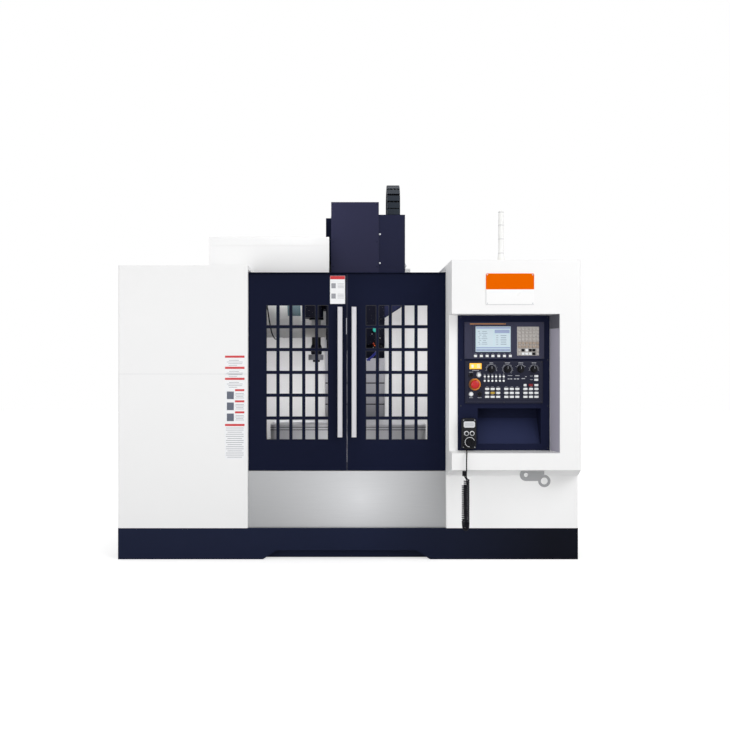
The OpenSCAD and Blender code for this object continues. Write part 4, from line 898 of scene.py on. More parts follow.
# Lamps in and behind the enclosure, seen only by what they light: place, target, size, power
HIDDEN_LAMPS = {
    "work_area_light": ((0.15, -0.60, 1.69), (0.15, -0.35, 0.8), (1.2, 0.16), 4.6),
    "left_wall_fill": ((-0.40, -0.25, 0.92), (-0.34, 0.32, 1.06), (0.5, 0.4), 3.1),
    "right_wall_fill": ((0.62, -0.42, 1.20), (0.62, 0.32, 1.25), (0.5, 0.6), 4.0),
    "table_fill": ((-0.14, -0.70, 0.55), (-0.10, -0.45, 0.70), (0.25, 0.08), 1.0),
    "table_fill_right": ((0.15, -0.70, 0.52), (0.15, -0.45, 0.62), (0.3, 0.08), 0.8),
    "housing_fill": ((-0.32, -0.80, 2.30), (-0.22, -0.20, 1.86), (0.35, 0.12), 0.9),
    "hood_side_fill": ((0.10, -1.12, 1.15), (0.60, -0.93, 1.15), (0.3, 1.1), 1.15),
    "lower_front_fill": ((0.92, -1.06, 0.51), (0.92, -0.92, 0.20), (0.55, 0.08), 0.30),
}
for name, settings in HIDDEN_LAMPS.items():
    lamp = area_light(name, *settings)
    lamp.visible_camera = False
    lamp.visible_glossy = False


# Shapes that are copied
def socket_screw(bm):
    add_lathe(bm, [(1.0, 0.0), (1.0, 0.55), (0.92, 0.70), (0.55, 0.72), (0.52, 0.30), (0.0, 0.28)], ORIGIN,
              TO_UP, 12)


def pan_screw(bm):
    add_lathe(bm, [(1.0, 0.0), (0.94, 0.16), (0.60, 0.30), (0.30, 0.34), (0.28, 0.12), (0.0, 0.10)], ORIGIN,
              TO_UP, 12)


def key_cap(bm):
    add_box(bm, (-0.5, -0.5, -0.3), (0.5, 0.5, 0.0))
    top = [f for f in bm.faces if f.normal.z > 0.9]
    bmesh.ops.inset_region(bm, faces=top, thickness=0.12, depth=0.0)
    for v in [v for face in top for v in face.verts]:
        v.co.z += 0.5
        v.co.x *= 0.93
        v.co.y *= 0.93


def bar(bm):
    add_box(bm, (-0.5, -0.5, 0.0), (0.5, 0.5, 1.0))


def round_button(bm):
    add_lathe(bm, [(1.0, 0.0), (1.0, 0.7), (0.86, 1.0), (0.0, 1.06)], ORIGIN, TO_UP, 18)


def bezel_ring(bm):
    add_lathe(bm, [(0.80, 0.0), (1.0, 0.0), (1.0, 0.7), (0.94, 1.0), (0.84, 1.0), (0.80, 0.8)], ORIGIN,
              TO_UP, 28)


screw_shape = stencil("socket_screw_shape", socket_screw)
dome_shape = stencil("pan_screw_shape", pan_screw)
cap_shape = stencil("key_cap_shape", key_cap, 20)
bar_shape = stencil("bar_shape", bar, 10)
button_shape = stencil("round_button_shape", round_button, 40)
ring = stencil("bezel_ring_shape", bezel_ring, 40)

# Keys of the display unit
SCREEN_LOW, SCREEN_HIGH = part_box("screen")
SOFT_KEY_PITCH = 0.0335
SOFT_KEYS_X = [SCREEN_LOW.x + i * SOFT_KEY_PITCH for i in range(7)]
PAD_KEYS = {(col, row): (0.993 + col * 0.021, 1.233 + row * 0.0205, 0.0175, 0.0155)
            for col in range(6) for row in range(8)}
WHITE_PAD = ((2, 1), (1, 0), (2, 0), (3, 0))
BLACK_PAD = ((1, 1), (3, 1), (4, 1), (4, 0))
KEY_RISE, KEY_DEPTH = 0.0032, 0.006


def caps(name, keys, face_y, material):
    """Key caps in front of a face; keys are (x, z, width, height)."""
    places = [((x, face_y - KEY_RISE, z), TO_FRONT, (w, h, KEY_DEPTH)) for x, z, w, h in keys]
    scatter(name, cap_shape, places, material)


def pad_colour(spot):
    """Colour of a key of the pad, by its column and row."""
    if spot in WHITE_PAD:
        return "white"
    if spot in BLACK_PAD:
        return "black"
    return "beige" if 2 <= spot[1] < 4 else "grey"


caps("soft_keys", [(x, 1.220, 0.0180, 0.0145) for x in SOFT_KEYS_X], DISPLAY_Y, white_key)
with new_piece("pad_plate", grey_key) as bm:
    add_box(bm, (0.9800, DISPLAY_Y - 0.0008, 1.2225), (1.1065, DISPLAY_Y + 0.0002, 1.3895), 0.0003, 1)
for label, material in (("grey", grey_key), ("beige", beige_key), ("white", white_key),
                        ("black", black_plastic)):
    chosen = [key for spot, key in PAD_KEYS.items() if pad_colour(spot) == label]
    caps("pad_keys_" + label, chosen, DISPLAY_Y, material)

# Keys and push buttons of the operator plate
BLOCK_KEYS = {(block, col, row): (0.807 + block * 0.111 + col * 0.032, 0.983 + row * 0.023, 0.0245, 0.0128)
              for block in range(3) for col in range(3) for row in range(3)}
AMBER_KEY = (0, 1, 1)
SWITCHES_X = [0.793 + i * 0.022 for i in range(6)]
SWITCH_ROWS_Z = (1.076, 1.101)
LOW_BUTTON_Z, HIGH_BUTTON_Z = 0.999, 1.110

caps("block_keys", [key for spot, key in BLOCK_KEYS.items() if spot != AMBER_KEY], PLATE_Y, white_key)
caps("block_key_amber", [BLOCK_KEYS[AMBER_KEY]], PLATE_Y, amber_key)
caps("row_keys",
     [(1.027, 1.051, 0.0175, 0.0135)] + [(1.092, z, 0.0235, 0.0135) for z in (1.051, 1.082, 1.103)],
     PLATE_Y, white_key)
caps("row_key_red", [(1.060, 1.051, 0.0235, 0.0145)], PLATE_Y, red_key)
caps("signal_lamp", [(0.740, 1.161, 0.070, 0.0345)], PLATE_Y, amber_glow)
copies("switch_buttons", button_shape, [(x, PLATE_Y - 0.0042, z) for x in SWITCHES_X for z in SWITCH_ROWS_Z],
       TO_FRONT, (0.0062, 0.0062, 0.0012), white_key)
for cap_name, ring_name, low_x, high_x, cap, metal in (
        ("round_buttons_white", "button_rings", 0.714, 0.759, white_key, chrome_ring),
        ("round_button_black", "button_rings_dark", 0.763, 0.714, black_plastic, dark_paint)):
    scatter(cap_name, button_shape,
            [((low_x, PLATE_Y - 0.0062, LOW_BUTTON_Z), TO_FRONT, (0.0105, 0.0105, 0.004)),
             ((high_x, PLATE_Y - 0.0122, HIGH_BUTTON_Z), TO_FRONT, (0.0095, 0.0095, 0.003))], cap)
    copies(ring_name, ring,
           [(low_x, PLATE_Y - 0.0001, LOW_BUTTON_Z), (high_x, PLATE_Y - 0.0001, HIGH_BUTTON_Z)],
           TO_FRONT, (0.0145, 0.0145, 0.0042), metal)

# Scales round the knobs: first and last angle in degrees, ticks, radius, width of the bar above
SCALES = {"mode_knob": (-105, 105, 15, 0.0285, 0.020), "feed_knob": (-135, 135, 19, 0.0270, 0.030),
          "rapid_knob": (-60, 60, 7, 0.0265, 0.028), "spindle_knob": (-105, 105, 15, 0.0245, 0.026)}
LONG_TICK, SHORT_TICK, TICK_W = 0.0072, 0.0042, 0.0013
ticks = []
for knob, (first, last, count, radius, _) in SCALES.items():
    for i, a in enumerate(arc_angles(first, last, count)):
        length = SHORT_TICK if i % 2 else LONG_TICK
        r = radius + length / 2
        ticks.append((KNOBS[knob].x + r * math.sin(a), KNOB_Z + r * math.cos(a), TICK_W, length, a))
prints("knob_scales", ticks, PLATE_Y, legend_grey)
with new_piece("knob_arcs", legend_grey) as bm:
    for knob, (first, last, _, radius, _) in SCALES.items():
        rim = arc_strip(KNOBS[knob].x, KNOB_Z, radius, radius - 0.0012,
                        arc_angles(90 - first, 90 - last, 25))
        add_prism(bm, rim, PLATE_Y - 0.0004, PLATE_Y + 0.0001, facing_front)

# Other prints of the panel, with bars in place of words
words = [(KNOBS[knob].x, 1.180, scale[-1], 0.0035) for knob, scale in SCALES.items()]
words += [(0.740, 1.136, 0.040, 0.0030)]
words += [(x, z + 0.0125, 0.010, 0.0024) for x in SWITCHES_X for z in SWITCH_ROWS_Z]
words += [(x, z + 0.0115, 0.014, 0.0022) for x, z, _, _ in BLOCK_KEYS.values()]
words += [(0.940, 1.106, 0.026, 0.0036), (0.983, 1.106, 0.024, 0.0036), (0.932, 1.087, 0.011, 0.0064),
          (0.947, 1.087, 0.011, 0.0064), (0.969, 1.087, 0.012, 0.0064), (0.986, 1.087, 0.013, 0.0064),
          (1.017, 1.089, 0.020, 0.0050), (1.032, 1.100, 0.010, 0.0036)]
words += [(1.064, z, 0.016, 0.0028) for z in (1.1035, 1.0825)]
words += [(x, z, 0.022, 0.0028) for x, z in ((0.714, 1.126), (0.759, 1.126), (0.714, 0.978), (0.763, 0.978),
                                             (0.735, 1.088))]
prints("plate_legends", words, PLATE_Y, legend_grey)
frames = [(0.787, 0.968, 0.891, 1.043), (0.898, 0.968, 1.002, 1.043), (1.009, 0.968, 1.113, 1.043),
          (0.784, 1.062, 0.916, 1.119), (0.692, 0.956, 1.119, 1.184)]
prints("plate_outlines", [mark for frame_box in frames for mark in outline_marks(*frame_box, 0.0007)],
       PLATE_Y, outline_print)
prints("lamp_marks",
       [(0.722, 1.161, 0.012, 0.016), (0.757, 1.161, 0.018, 0.004), (0.757, 1.169, 0.018, 0.003),
        (0.757, 1.153, 0.018, 0.003)], PLATE_Y - 0.0062, sticker_white)
prints("display_strip", [(0.811, 1.4055, 0.208, 0.0055)], DISPLAY_Y, copper_strip)
prints("display_legends", [(x, 1.2322, 0.010, 0.0016) for x in SOFT_KEYS_X], DISPLAY_Y - 0.004, legend_grey)

# The lit page of the screen: fields and bars only
PAGE_X = (SCREEN_LOW.x + SCREEN_HIGH.x) / 2
page_blue = lit_material("page_blue", "#95a2c2", 0.14)
page_ink = lit_material("page_ink", "#8b9cab", 0.10)
page_pale = lit_material("page_pale", "#bccbd3", 0.22)


def on_page(marks):
    """Marks given from the middle of the page's foot."""
    return [(PAGE_X + x, SCREEN_LOW.z + z, w, h) for x, z, w, h in marks]


prints("page_fields",
       on_page([(0, 0.139, 0.196, 0.010), (0, 0.010, 0.196, 0.012), (0.052, 0.118, 0.086, 0.020),
                (0, 0.024, 0.196, 0.007)]), SCREEN_LOW.y, page_blue)
prints("page_panels", on_page([(-0.046, 0.080, 0.096, 0.094), (0.052, 0.068, 0.086, 0.070)]), SCREEN_LOW.y,
       page_pale)
page_lines = []
for i in range(8):
    z = 0.118 - 0.0105 * i
    page_lines += [(-0.082 + 0.004 * (i % 3), z, 0.010, 0.0030),
                   (-0.050, z, 0.026 + 0.010 * math.sin(i * 2.1), 0.0030)]
for i in range(5):
    z = 0.094 - 0.0125 * i
    page_lines += [(0.024, z, 0.012, 0.0030), (0.060, z, 0.034 - 0.004 * (i % 2), 0.0040)]
page_lines += [(-0.085 + 0.85 * i * SOFT_KEY_PITCH, 0.010, 0.016, 0.0035) for i in range(7)]
prints("page_lines", on_page(page_lines), SCREEN_LOW.y - PRINT_T, page_ink)

# Sloping tray at the foot of the storage recess; its paint, lighter than the panel's, is painted light on
# the slope
with new_piece("recess_tray", recess_tray_lit_paint, slot="navy_paint") as bm:
    add_prism(bm,
              [(-0.8890, 0.853), (-0.9900, 0.7010), (-0.9940, 0.7010), (-0.9940, 0.6928), (-0.8890, 0.6928)],
              0.7548, 1.1202, side_on)

# Screws of the panels
corner = []
for node, face_y in (("display_unit", DISPLAY_Y), ("operator_plate", PLATE_Y)):
    low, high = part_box(node)
    corner += [(x, face_y, z) for x in (low.x + 0.008, (low.x + high.x) / 2, high.x - 0.008)
               for z in (low.z + 0.007, high.z - 0.007)]
copies("panel_screws", screw_shape, corner, TO_FRONT, 0.0032, black_oxide)
copies("sheet_screws", dome_shape,
       [(x, PANEL_Y, z) for x in (0.656, 1.161) for z in (0.684, 0.930, 1.197, 1.444)],
       TO_FRONT, 0.0040, black_oxide)

# Emergency stop: its collar and the arrows that say how it is released
STOP, STOP_FRONT = middle("emergency_stop"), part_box("emergency_stop")[0].y
with new_piece("stop_collar", yellow_plastic, smooth=40) as bm:
    add_lathe(bm,
              [(0.0262, -0.0002), (0.0345, -0.0002), (0.0345, 0.0050), (0.0325, 0.0072), (0.0270, 0.0072),
               (0.0262, 0.0060)], (STOP.x, PLATE_Y - 0.0001, STOP.z), TO_FRONT, 64)


def turn_arrow(first, last, radius=0.0150, width=0.0008):
    """Outline of an arc round the stop's middle with an arrow head past its last angle."""
    arc = spread(first, last, 11)
    head = [(STOP.x + r * math.cos(a), STOP.z + r * math.sin(a)) for r, a in
            ((radius + 3 * width, last), (radius, last + 0.22), (radius - 3 * width, last))]
    return (arc_points(STOP.x, STOP.z, radius + width, arc) + head
            + arc_points(STOP.x, STOP.z, radius - width, arc[::-1]))


with new_piece("stop_arrows", dark_red, "emergency_stop") as bm:
    for first, last in ((0.3, 1.5), (2.4, 3.6), (4.5, 5.7)):
        add_prism(bm, turn_arrow(first, last), STOP_FRONT + 0.0008, STOP_FRONT + 0.0015, facing_front)


# Knobs and handwheel: pointer lines and knurled rims
def knurl(name, centre, y, radius, count, size, body):
    """Bars round a knob whose axis runs from front to back."""
    places = [((centre.x + radius * math.cos(a), y, centre.z + radius * math.sin(a)),
               (math.cos(a), 0, math.sin(a)), size) for a in full_turn(count)]
    scatter(name, bar_shape, places, black_plastic, body)


for name, centre in KNOBS.items():
    low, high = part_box(name)
    with new_piece(name + "_line", legend_grey, name) as bm:
        add_box(bm, (centre.x - 0.0010, low.y - 0.0004, KNOB_Z + 0.002),
                (centre.x + 0.0010, low.y + 0.0006, high.z - 0.0022), 0.0002, 1)
    knurl(name + "_knurl", centre, low.y + 0.0222, 0.985 * (high.x - low.x) / 2, 36,
          (0.0030, 0.0008, 0.0006), name)

# Pendant
pendant_low, pendant_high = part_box("pendant_body")
PENDANT_FACE = pendant_low.y + 0.015
WHEEL, WHEEL_FRONT = middle("pendant_wheel"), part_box("pendant_wheel")[0].y
with new_piece("pendant_window", window_grey, smooth=30) as bm:
    add_prism(bm, round_outline(WHEEL.x - 0.0325, 0.8075, WHEEL.x + 0.0325, 0.8430, 0.009, 8),
              PENDANT_FACE - 0.0038, PENDANT_FACE - 0.0028, facing_front)
prints("pendant_window_lines", [(WHEEL.x, z, 0.050, 0.0022) for z in (0.818, 0.825, 0.832)],
       PENDANT_FACE - 0.0038, legend_grey)
copies("pendant_dial_ring", ring, [(WHEEL.x, PENDANT_FACE + 0.0004, WHEEL.z)], TO_FRONT,
       (0.0385, 0.0385, 0.0014), pendant_shell)
with new_piece("handwheel_scale", legend_white, "handwheel") as bm:
    add_prism(bm, arc_strip(WHEEL.x, WHEEL.z, 0.0285, 0.0262, arc_angles(20, 270, 41)), WHEEL_FRONT - 0.0004,
              WHEEL_FRONT + 0.0002, facing_front)
copies("pendant_rings", ring, [(WHEEL.x + side * 0.016, PENDANT_FACE + 0.0004, 0.774) for side in (-1, 1)],
       TO_FRONT, (0.0142, 0.0142, 0.0016), legend_white)
prints("pendant_dial_marks",
       [(WHEEL.x + 0.0358 * math.sin(a), WHEEL.z + 0.0358 * math.cos(a), 0.0008, 0.0030, a)
        for a in full_turn(20)], PENDANT_FACE, legend_grey)
knurl("handwheel_knurl", WHEEL, WHEEL_FRONT + 0.0180, 0.0326, 40, (0.0024, 0.0088, 0.0009), "handwheel")
copies("pendant_screws", dome_shape,
       [(x, PENDANT_FACE, z) for x in (pendant_low.x + 0.008, pendant_high.x - 0.008)
        for z in (pendant_low.z + 0.010, pendant_high.z - 0.010)],
       TO_FRONT, 0.0026, zinc)

# Slanted right wall of the operator niche, with painted shade: a darker liner over it and a dark block at
# its top, the header's painted shadow
PILLAR_FRONT, PILLAR_RUN = Vector((1.199, -1.150, 0)), Vector((-0.026, 0.150, 0))
PILLAR_OUT = Vector((-PILLAR_RUN.y, PILLAR_RUN.x, 0)).normalized()


def on_pillar(share, z, lift):
    """Point at a share of the wall's depth, lifted off its face."""
    return PILLAR_FRONT + PILLAR_RUN * share + Vector((0, 0, z)) + PILLAR_OUT * lift


# Darker liner over the wall: painted shade.
with new_piece("niche_liner", niche_liner, slot="white_paint") as bm:
    add_prism(bm, rectangle(0.03, 0.673, 0.94, 1.376), -0.0004, 0.0008, on_pillar)
# Dark block at the wall's top: painted shadow of the header.
with new_piece("niche_block", niche_block, slot="white_paint") as bm:
    add_prism(bm, rectangle(0.05, 1.377, 0.94, 1.4565), -0.0004, 0.0030, on_pillar)

# Signal lamp: lock ring and the rings between its segments
BEACON = middle("beacon_base")
BEACON_FOOT, LAMP_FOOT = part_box("beacon_base")[0].z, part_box("beacon_lamp")[0].z
with new_piece("beacon_ring", beacon_yellow, smooth=40) as bm:
    add_lathe(bm, [(0.0252, 0.0002), (0.0252, 0.0062), (0.0240, 0.0074), (0.0225, 0.0074)],
              (BEACON.x, BEACON.y, BEACON_FOOT), TO_UP, 48)
copies("beacon_rings", ring,
       [(BEACON.x, BEACON.y, LAMP_FOOT + rise) for rise in (0.001, 0.082, 0.162, 0.236)],
       TO_UP, (0.0163, 0.0163, 0.0030), beacon_grey)

# Name plate: a white field below the orange one, and grey lines along its bottom and left edges as painted
# shadow
plate_low, plate_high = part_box("name_plate")
with new_piece("name_plate_lower", plate_white) as bm:
    add_box(bm, (plate_low.x - 0.0004, plate_low.y - 0.0006, plate_low.z - 0.0004),
            (plate_high.x + 0.0004, plate_high.y + 0.0003, 1.5960), 0.0003, 1)
# Grey lines along the plate's bottom and left edges: painted shadow of its thickness.
prints("name_plate_lines", [(0.916, 1.5103, 0.270, 0.0012), (0.7803, 1.553, 0.0012, 0.084)],
       plate_low.y - 0.0006, print_grey)
copies("name_plate_screws", dome_shape,
       [(x, plate_low.y, z) for x in (plate_low.x + 0.0075, plate_high.x - 0.0075)
        for z in (plate_low.z + 0.0075, plate_high.z - 0.0075)],
       TO_FRONT, 0.0038, zinc)

# Stickers: white grounds, coloured fields and bars in place of words
STICKER_X, STRIP_X, STRIP_RIGHT_X = -0.063, -0.6795, -0.650
prints("door_sticker", [(STICKER_X, 1.6185, 0.090, 0.169)], DOOR_Y, sticker_white, "left_door")
prints("door_sticker_band", [(STICKER_X, 1.692, 0.088, 0.020)], DOOR_Y - PRINT_T, sticker_red, "left_door")
prints("door_sticker_fields", [(-0.087, z, 0.026, 0.030) for z in (1.643, 1.581)]
       + [(-0.044, foot + 0.008 * i, 0.038, 0.0020) for foot in (1.631, 1.569) for i in range(4)],
       DOOR_Y - PRINT_T, print_grey, "left_door")
prints("cabinet_strip", [(STRIP_X, 0.9125, 0.119, 0.625)], FRONT_Y, sticker_white)
prints("cabinet_strip_bars", [(STRIP_X, z, 0.117, 0.013) for z in (1.216, 1.149, 1.083, 0.806)]
       + [(STRIP_RIGHT_X, z, 0.056, 0.012) for z in (1.015, 0.948, 0.882)], FRONT_Y - PRINT_T, sticker_red)
rows = [(STRIP_X, 0.788 - 0.0125 * i, 0.106 - 0.018 * (i % 3 == 2), 0.0030) for i in range(15)]
rows += [(x, z + rise, w, 0.0026) for z in (1.182, 1.116, 1.050)
         for x, rise, w in ((-0.684, 0.012, 0.060), (STRIP_X, 0.002, 0.096), (-0.676, -0.008, 0.084),
                            (-0.690, -0.018, 0.050))]
rows += [(STRIP_RIGHT_X, z + rise, w, 0.0026) for z in (0.981, 0.915, 0.849)
         for rise, w in ((0.014, 0.050), (0.005, 0.056), (-0.004, 0.044), (-0.013, 0.052))]
prints("cabinet_strip_rows", rows, FRONT_Y - PRINT_T, print_grey)
prints("cabinet_strip_fields", [(-0.706, z, 0.042, 0.046) for z in (0.984, 0.918, 0.852)], FRONT_Y - PRINT_T,
       print_dark)
prints("left_cabinet_seam", [(-0.990, 1.112, 0.774, 0.0016)], FRONT_Y, seam_shadow)

# Doors: a rubber bead round each pane, the seal between them and the handles' end caps
PANE_HALF_W, PANE_HALF_H = 0.0315, 0.0615
PANES_X = [0.113 + 0.0775 * i + PANE_HALF_W for i in range(5)]
PANES_Z = [0.716 + 0.1375 * i + PANE_HALF_H for i in range(6)]


def bead_shape(bm):
    add_frame(bm, (-PANE_HALF_W, -PANE_HALF_H, PANE_HALF_W, PANE_HALF_H), 0.0028, -0.004, 0.0009, lying_flat)


bead = stencil("pane_bead_shape", bead_shape, 10)
for side, door in ((-1, "left_door"), (1, "right_door")):
    spots = [(MIDDLE_X + side * x, DOOR_Y, z) for x in PANES_X for z in PANES_Z]
    copies(door + "_pane_beads", bead, spots, TO_FRONT, 1, seal_rubber, door)
    x0, x1 = sorted((MIDDLE_X + side * 0.0012, MIDDLE_X + side * 0.0052))
    with new_piece(door + "_seal", edge_strip, door, 30, "satin_metal") as bm:
        add_box(bm, (x0, DOOR_Y - 0.0018, 0.534), (x1, -0.781, 1.714), 0.0008, 1)
    low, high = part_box(door + "_handle")
    copies(door + "_handle_ends", button_shape,
           [((low.x + high.x) / 2, low.y, z) for z in (low.z + 0.026, high.z - 0.026)],
           TO_FRONT, (0.0085, 0.0085, 0.0014), satin_bar, door)
prints("latch_plate", [(MIDDLE_X - 0.0032, 1.400, 0.0042, 0.098)], DOOR_Y - 0.0018, latch_metal, "left_door")

# Work area, fixed: a grey sheet of painted shade under the drum, the window round the drum, air hose, hub of
# the tool changer's arm
DRUM_Z = 1.640
HUB_X = middle("atc_shaft").x
# Grey arc sheet under the front of the drum: its colour is painted shade on the drum's underside.
with new_piece("chip_deflector", drum_shade_grey, smooth=30) as bm:
    add_prism(bm, arc_strip(SPINDLE.y, DRUM_Z, 0.3000, 0.2970, arc_angles(232, 259, 11)), -0.3005, -0.1460,
              side_on)
with new_piece("drum_window", drum_window, smooth=30) as bm:
    add_prism(bm, arc_strip(SPINDLE.y, DRUM_Z, 0.3016, 0.2998, arc_angles(198.5, 212.7, 7)), -0.387, -0.304,
              side_on)
with new_piece("air_hose", hose_black, smooth=60) as bm:
    add_tube(bm, smooth_path([(-0.538, -0.505, 1.690), (-0.524, -0.508, 1.600), (-0.513, -0.508, 1.530),
                              (-0.500, -0.504, 1.440), (-0.486, -0.480, 1.365), (-0.470, -0.420, 1.330),
                              (-0.462, -0.330, 1.3385)], 6), 0.0045, 10)
with new_piece("arm_hub_cover", head_paint, "atc_arm", 40) as bm:
    add_lathe(bm, [(0.030, -0.070), (0.036, -0.066), (0.037, -0.020), (0.030, -0.004), (0.028, 0.0)],
              (HUB_X, SPINDLE.y, 1.301), TO_UP, 40)

# Head: coolant manifold with its hose, fittings and bolts
HEAD_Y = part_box("head")[0].y
NOSE_BOLTS_R = 0.088
with new_piece("coolant_manifold", head_paint, "head", 40) as bm:
    add_box(bm, (0.076, HEAD_Y + 0.002, 1.206), (0.2355, HEAD_Y + 0.060, 1.2590), 0.004, 2)
with new_piece("manifold_hose", nozzle_blue, "head", 60) as bm:
    add_tube(bm, smooth_path([(0.192, HEAD_Y - 0.004, 1.262), (0.178, HEAD_Y - 0.010, 1.240),
                              (0.150, HEAD_Y - 0.012, 1.212), (0.122, HEAD_Y - 0.010, 1.192)], 6),
             0.0075, 12)
copies("head_button", button_shape, [(0.1735, HEAD_Y, 1.3900)], TO_FRONT, (0.0145, 0.0145, 0.005), teal_glow,
       "head")
scatter("head_fittings", button_shape, [((0.165, HEAD_Y, 1.301), TO_FRONT, (0.0048, 0.0048, 0.012)),
                                        ((0.171, HEAD_Y, 1.288), TO_FRONT, (0.0042, 0.0042, 0.016))],
        nozzle_orange, "head")
scatter("head_plugs", dome_shape,
        [((0.155, HEAD_Y, 1.363), TO_FRONT, 0.0045), ((0.2065, HEAD_Y, 1.337), TO_FRONT, 0.0045),
         ((0.163, HEAD_Y, 1.277), TO_FRONT, 0.0040)], zinc, "head")
copies("head_bolts", screw_shape, [(x, HEAD_Y, z) for x in (-0.115, 0.215) for z in (1.285, 1.46, 1.60)],
       TO_FRONT, 0.0065, black_oxide, "head")
copies("nose_bolts", screw_shape,
       [(SPINDLE.x + NOSE_BOLTS_R * math.cos(a), SPINDLE.y + NOSE_BOLTS_R * math.sin(a),
         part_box("head")[0].z) for a in full_turn(8, 0.5)], (0, 0, -1), 0.0052, zinc, "head")

# Covers of the head: screws, vents and wipers
cover_low, cover_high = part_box("head_cover")
side_low, side_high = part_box("side_cover")
copies("cover_screws", dome_shape, [(0.2050, side_low.y, z) for z in (2.010, 1.822)], TO_FRONT, 0.0070, zinc,
       "head")
copies("cover_edge_screws", dome_shape,
       [(x, cover_low.y, z) for x in (cover_low.x + 0.012, cover_high.x - 0.012)
        for z in (cover_high.z - 0.016, 1.96, 1.80)],
       TO_FRONT, 0.0036, navy, "head")
copies("side_cover_screws", dome_shape,
       [(side_high.x, y, z) for y in (side_low.y + 0.02, side_low.y + 0.255, side_high.y - 0.02)
        for z in (side_high.z - 0.02, 1.60)], TO_RIGHT, 0.0045, zinc, "head")
copies("side_cover_vents", bar_shape, [(side_high.x, side_low.y + 0.26 + 0.034 * i, 1.86) for i in range(6)],
       TO_RIGHT, (0.110, 0.010, 0.0012), wiper_rubber, "head")
for cover, body in (("z_cover_upper", "head"), ("z_cover_middle", "z_cover_middle")):
    low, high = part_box(cover)
    prints(cover + "_wiper", [((low.x + high.x) / 2, low.z + 0.0045, high.x - low.x, 0.009)], low.y,
           wiper_rubber, body)
# Dark strips on the table's front face: painted shade standing for two grooves.
prints("table_front_grooves", [(0.0, z, 0.998, 0.0045) for z in (0.7635, 0.7465)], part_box("table")[0].y,
       wiper_rubber, "table")

# Apron under the magazine housing, lamp on the right inner wall
housing_low, housing_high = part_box("magazine_housing")
LAMP_X = 1.036
with new_piece("housing_apron", housing_white, slot="white_paint") as bm:
    add_box(bm, (housing_low.x, housing_low.y, 1.700),
            (housing_high.x - 0.0005, housing_low.y + 0.003, housing_low.z + 0.001))
with new_piece("work_lamp_case", dark_paint, smooth=40) as bm:
    add_box(bm, (LAMP_X - 0.006, -0.62, 1.10), (LAMP_X + 0.006, -0.55, 1.62), 0.004, 2)
with new_piece("work_lamp_tube", work_glow, smooth=40) as bm:
    add_box(bm, (LAMP_X - 0.016, -0.610, 1.115), (LAMP_X - 0.005, -0.560, 1.605), 0.008, 3)

# Cabinets from outside: screwed side panels with louvres and cup pulls, skirt screws
shell_low, shell_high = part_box("left_cabinet")
BACK_Y, WALL_X, SKIRT_X = shell_high.y, -shell_low.x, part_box("base_skirt")[1].x
PULLS_Z, PULL_BACK_Y, PULL_FRONT_Y = (0.700, 1.180), -0.430, -0.320
panel_y = spread(FRONT_Y + 0.216, BACK_Y - 0.216, 5)
panel_z = spread(shell_low.z + 0.156, shell_high.z - 0.296, 6)
rim_spots = [(y, z) for y in panel_y for z in (panel_z[0], panel_z[-1])]
rim_spots += [(y, z) for z in panel_z[1:-1] for y in (panel_y[0], panel_y[-1])]


def cup_pulls(name, side, inset, height, radius, steps, low, high, material):
    """Rounded plates on a side wall, between two distances from it."""
    x0, x1 = sorted((side * (WALL_X + low), side * (WALL_X + high)))
    with new_piece(name, material, smooth=30) as bm:
        for z in PULLS_Z:
            outline = round_outline(PULL_BACK_Y + inset, z + inset, PULL_FRONT_Y - inset, z + inset + height,
                                    radius, steps)
            add_prism(bm, outline, x0, x1, side_on)


for side, facing, label in ((-1, TO_LEFT, "left"), (1, TO_RIGHT, "right")):
    wall = side * WALL_X
    copies(label + "_panel_screws", dome_shape, [(wall, y, z) for y, z in rim_spots], facing, 0.0060, zinc)
    copies(label + "_panel_louvres", bar_shape,
           [(wall, panel_y[-1] - 0.170, panel_z[0] + 0.060 + 0.026 * i) for i in range(9)],
           facing, (0.011, 0.200, 0.0045), white)
    cup_pulls(label + "_cup_pulls", side, 0.0, 0.040, 0.012, 6, -0.0003, 0.0022, black_plastic)
    cup_pulls(label + "_cup_lips", side, 0.008, 0.010, 0.004, 4, 0.0020, 0.0032, dark_paint)
    copies(label + "_skirt_screws", dome_shape,
           [(side * SKIRT_X, -0.70 + 0.28 * i, 0.142) for i in range(6)], facing, 0.0055, navy_base)

# Roof: screws, vents and eye bolts of the housing, head cover, column and electrical cabinet
column_low, column_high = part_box("column")
gear_low, gear_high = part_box("electrical_cabinet")
top_spots = [(x, y, housing_high.z)
             for x in (housing_low.x + 0.020, (housing_low.x + housing_high.x) / 2, housing_high.x - 0.050)
             for y in (housing_low.y + 0.020, -0.09, housing_high.y - 0.020)]
copies("housing_top_screws", dome_shape, top_spots[:4] + top_spots[5:], TO_UP, 0.0055, zinc)
copies("cover_top_vents", bar_shape,
       [((cover_low.x + cover_high.x) / 2, cover_low.y + 0.14 + 0.022 * i, cover_high.z)
        for i in range(9)], TO_UP, (0.200, 0.011, 0.0012), wiper_rubber, "head")
copies("column_top_bolts", screw_shape,
       [(x, y, column_high.z) for x in (column_low.x + 0.035, 0.225) for y in (0.470, 0.600, 0.730)],
       TO_UP, 0.0090, zinc)


def eye_bolt(bm):
    add_lathe(bm, [(0.017, 0.0), (0.017, 0.005), (0.009, 0.008), (0.008, 0.014)], ORIGIN, TO_UP, 20)
    loop = arc_points(0, 0.028, 0.015, arc_angles(-90, 270, 25))
    add_tube(bm, [(x, 0, z) for x, z in loop], 0.0042, 8)


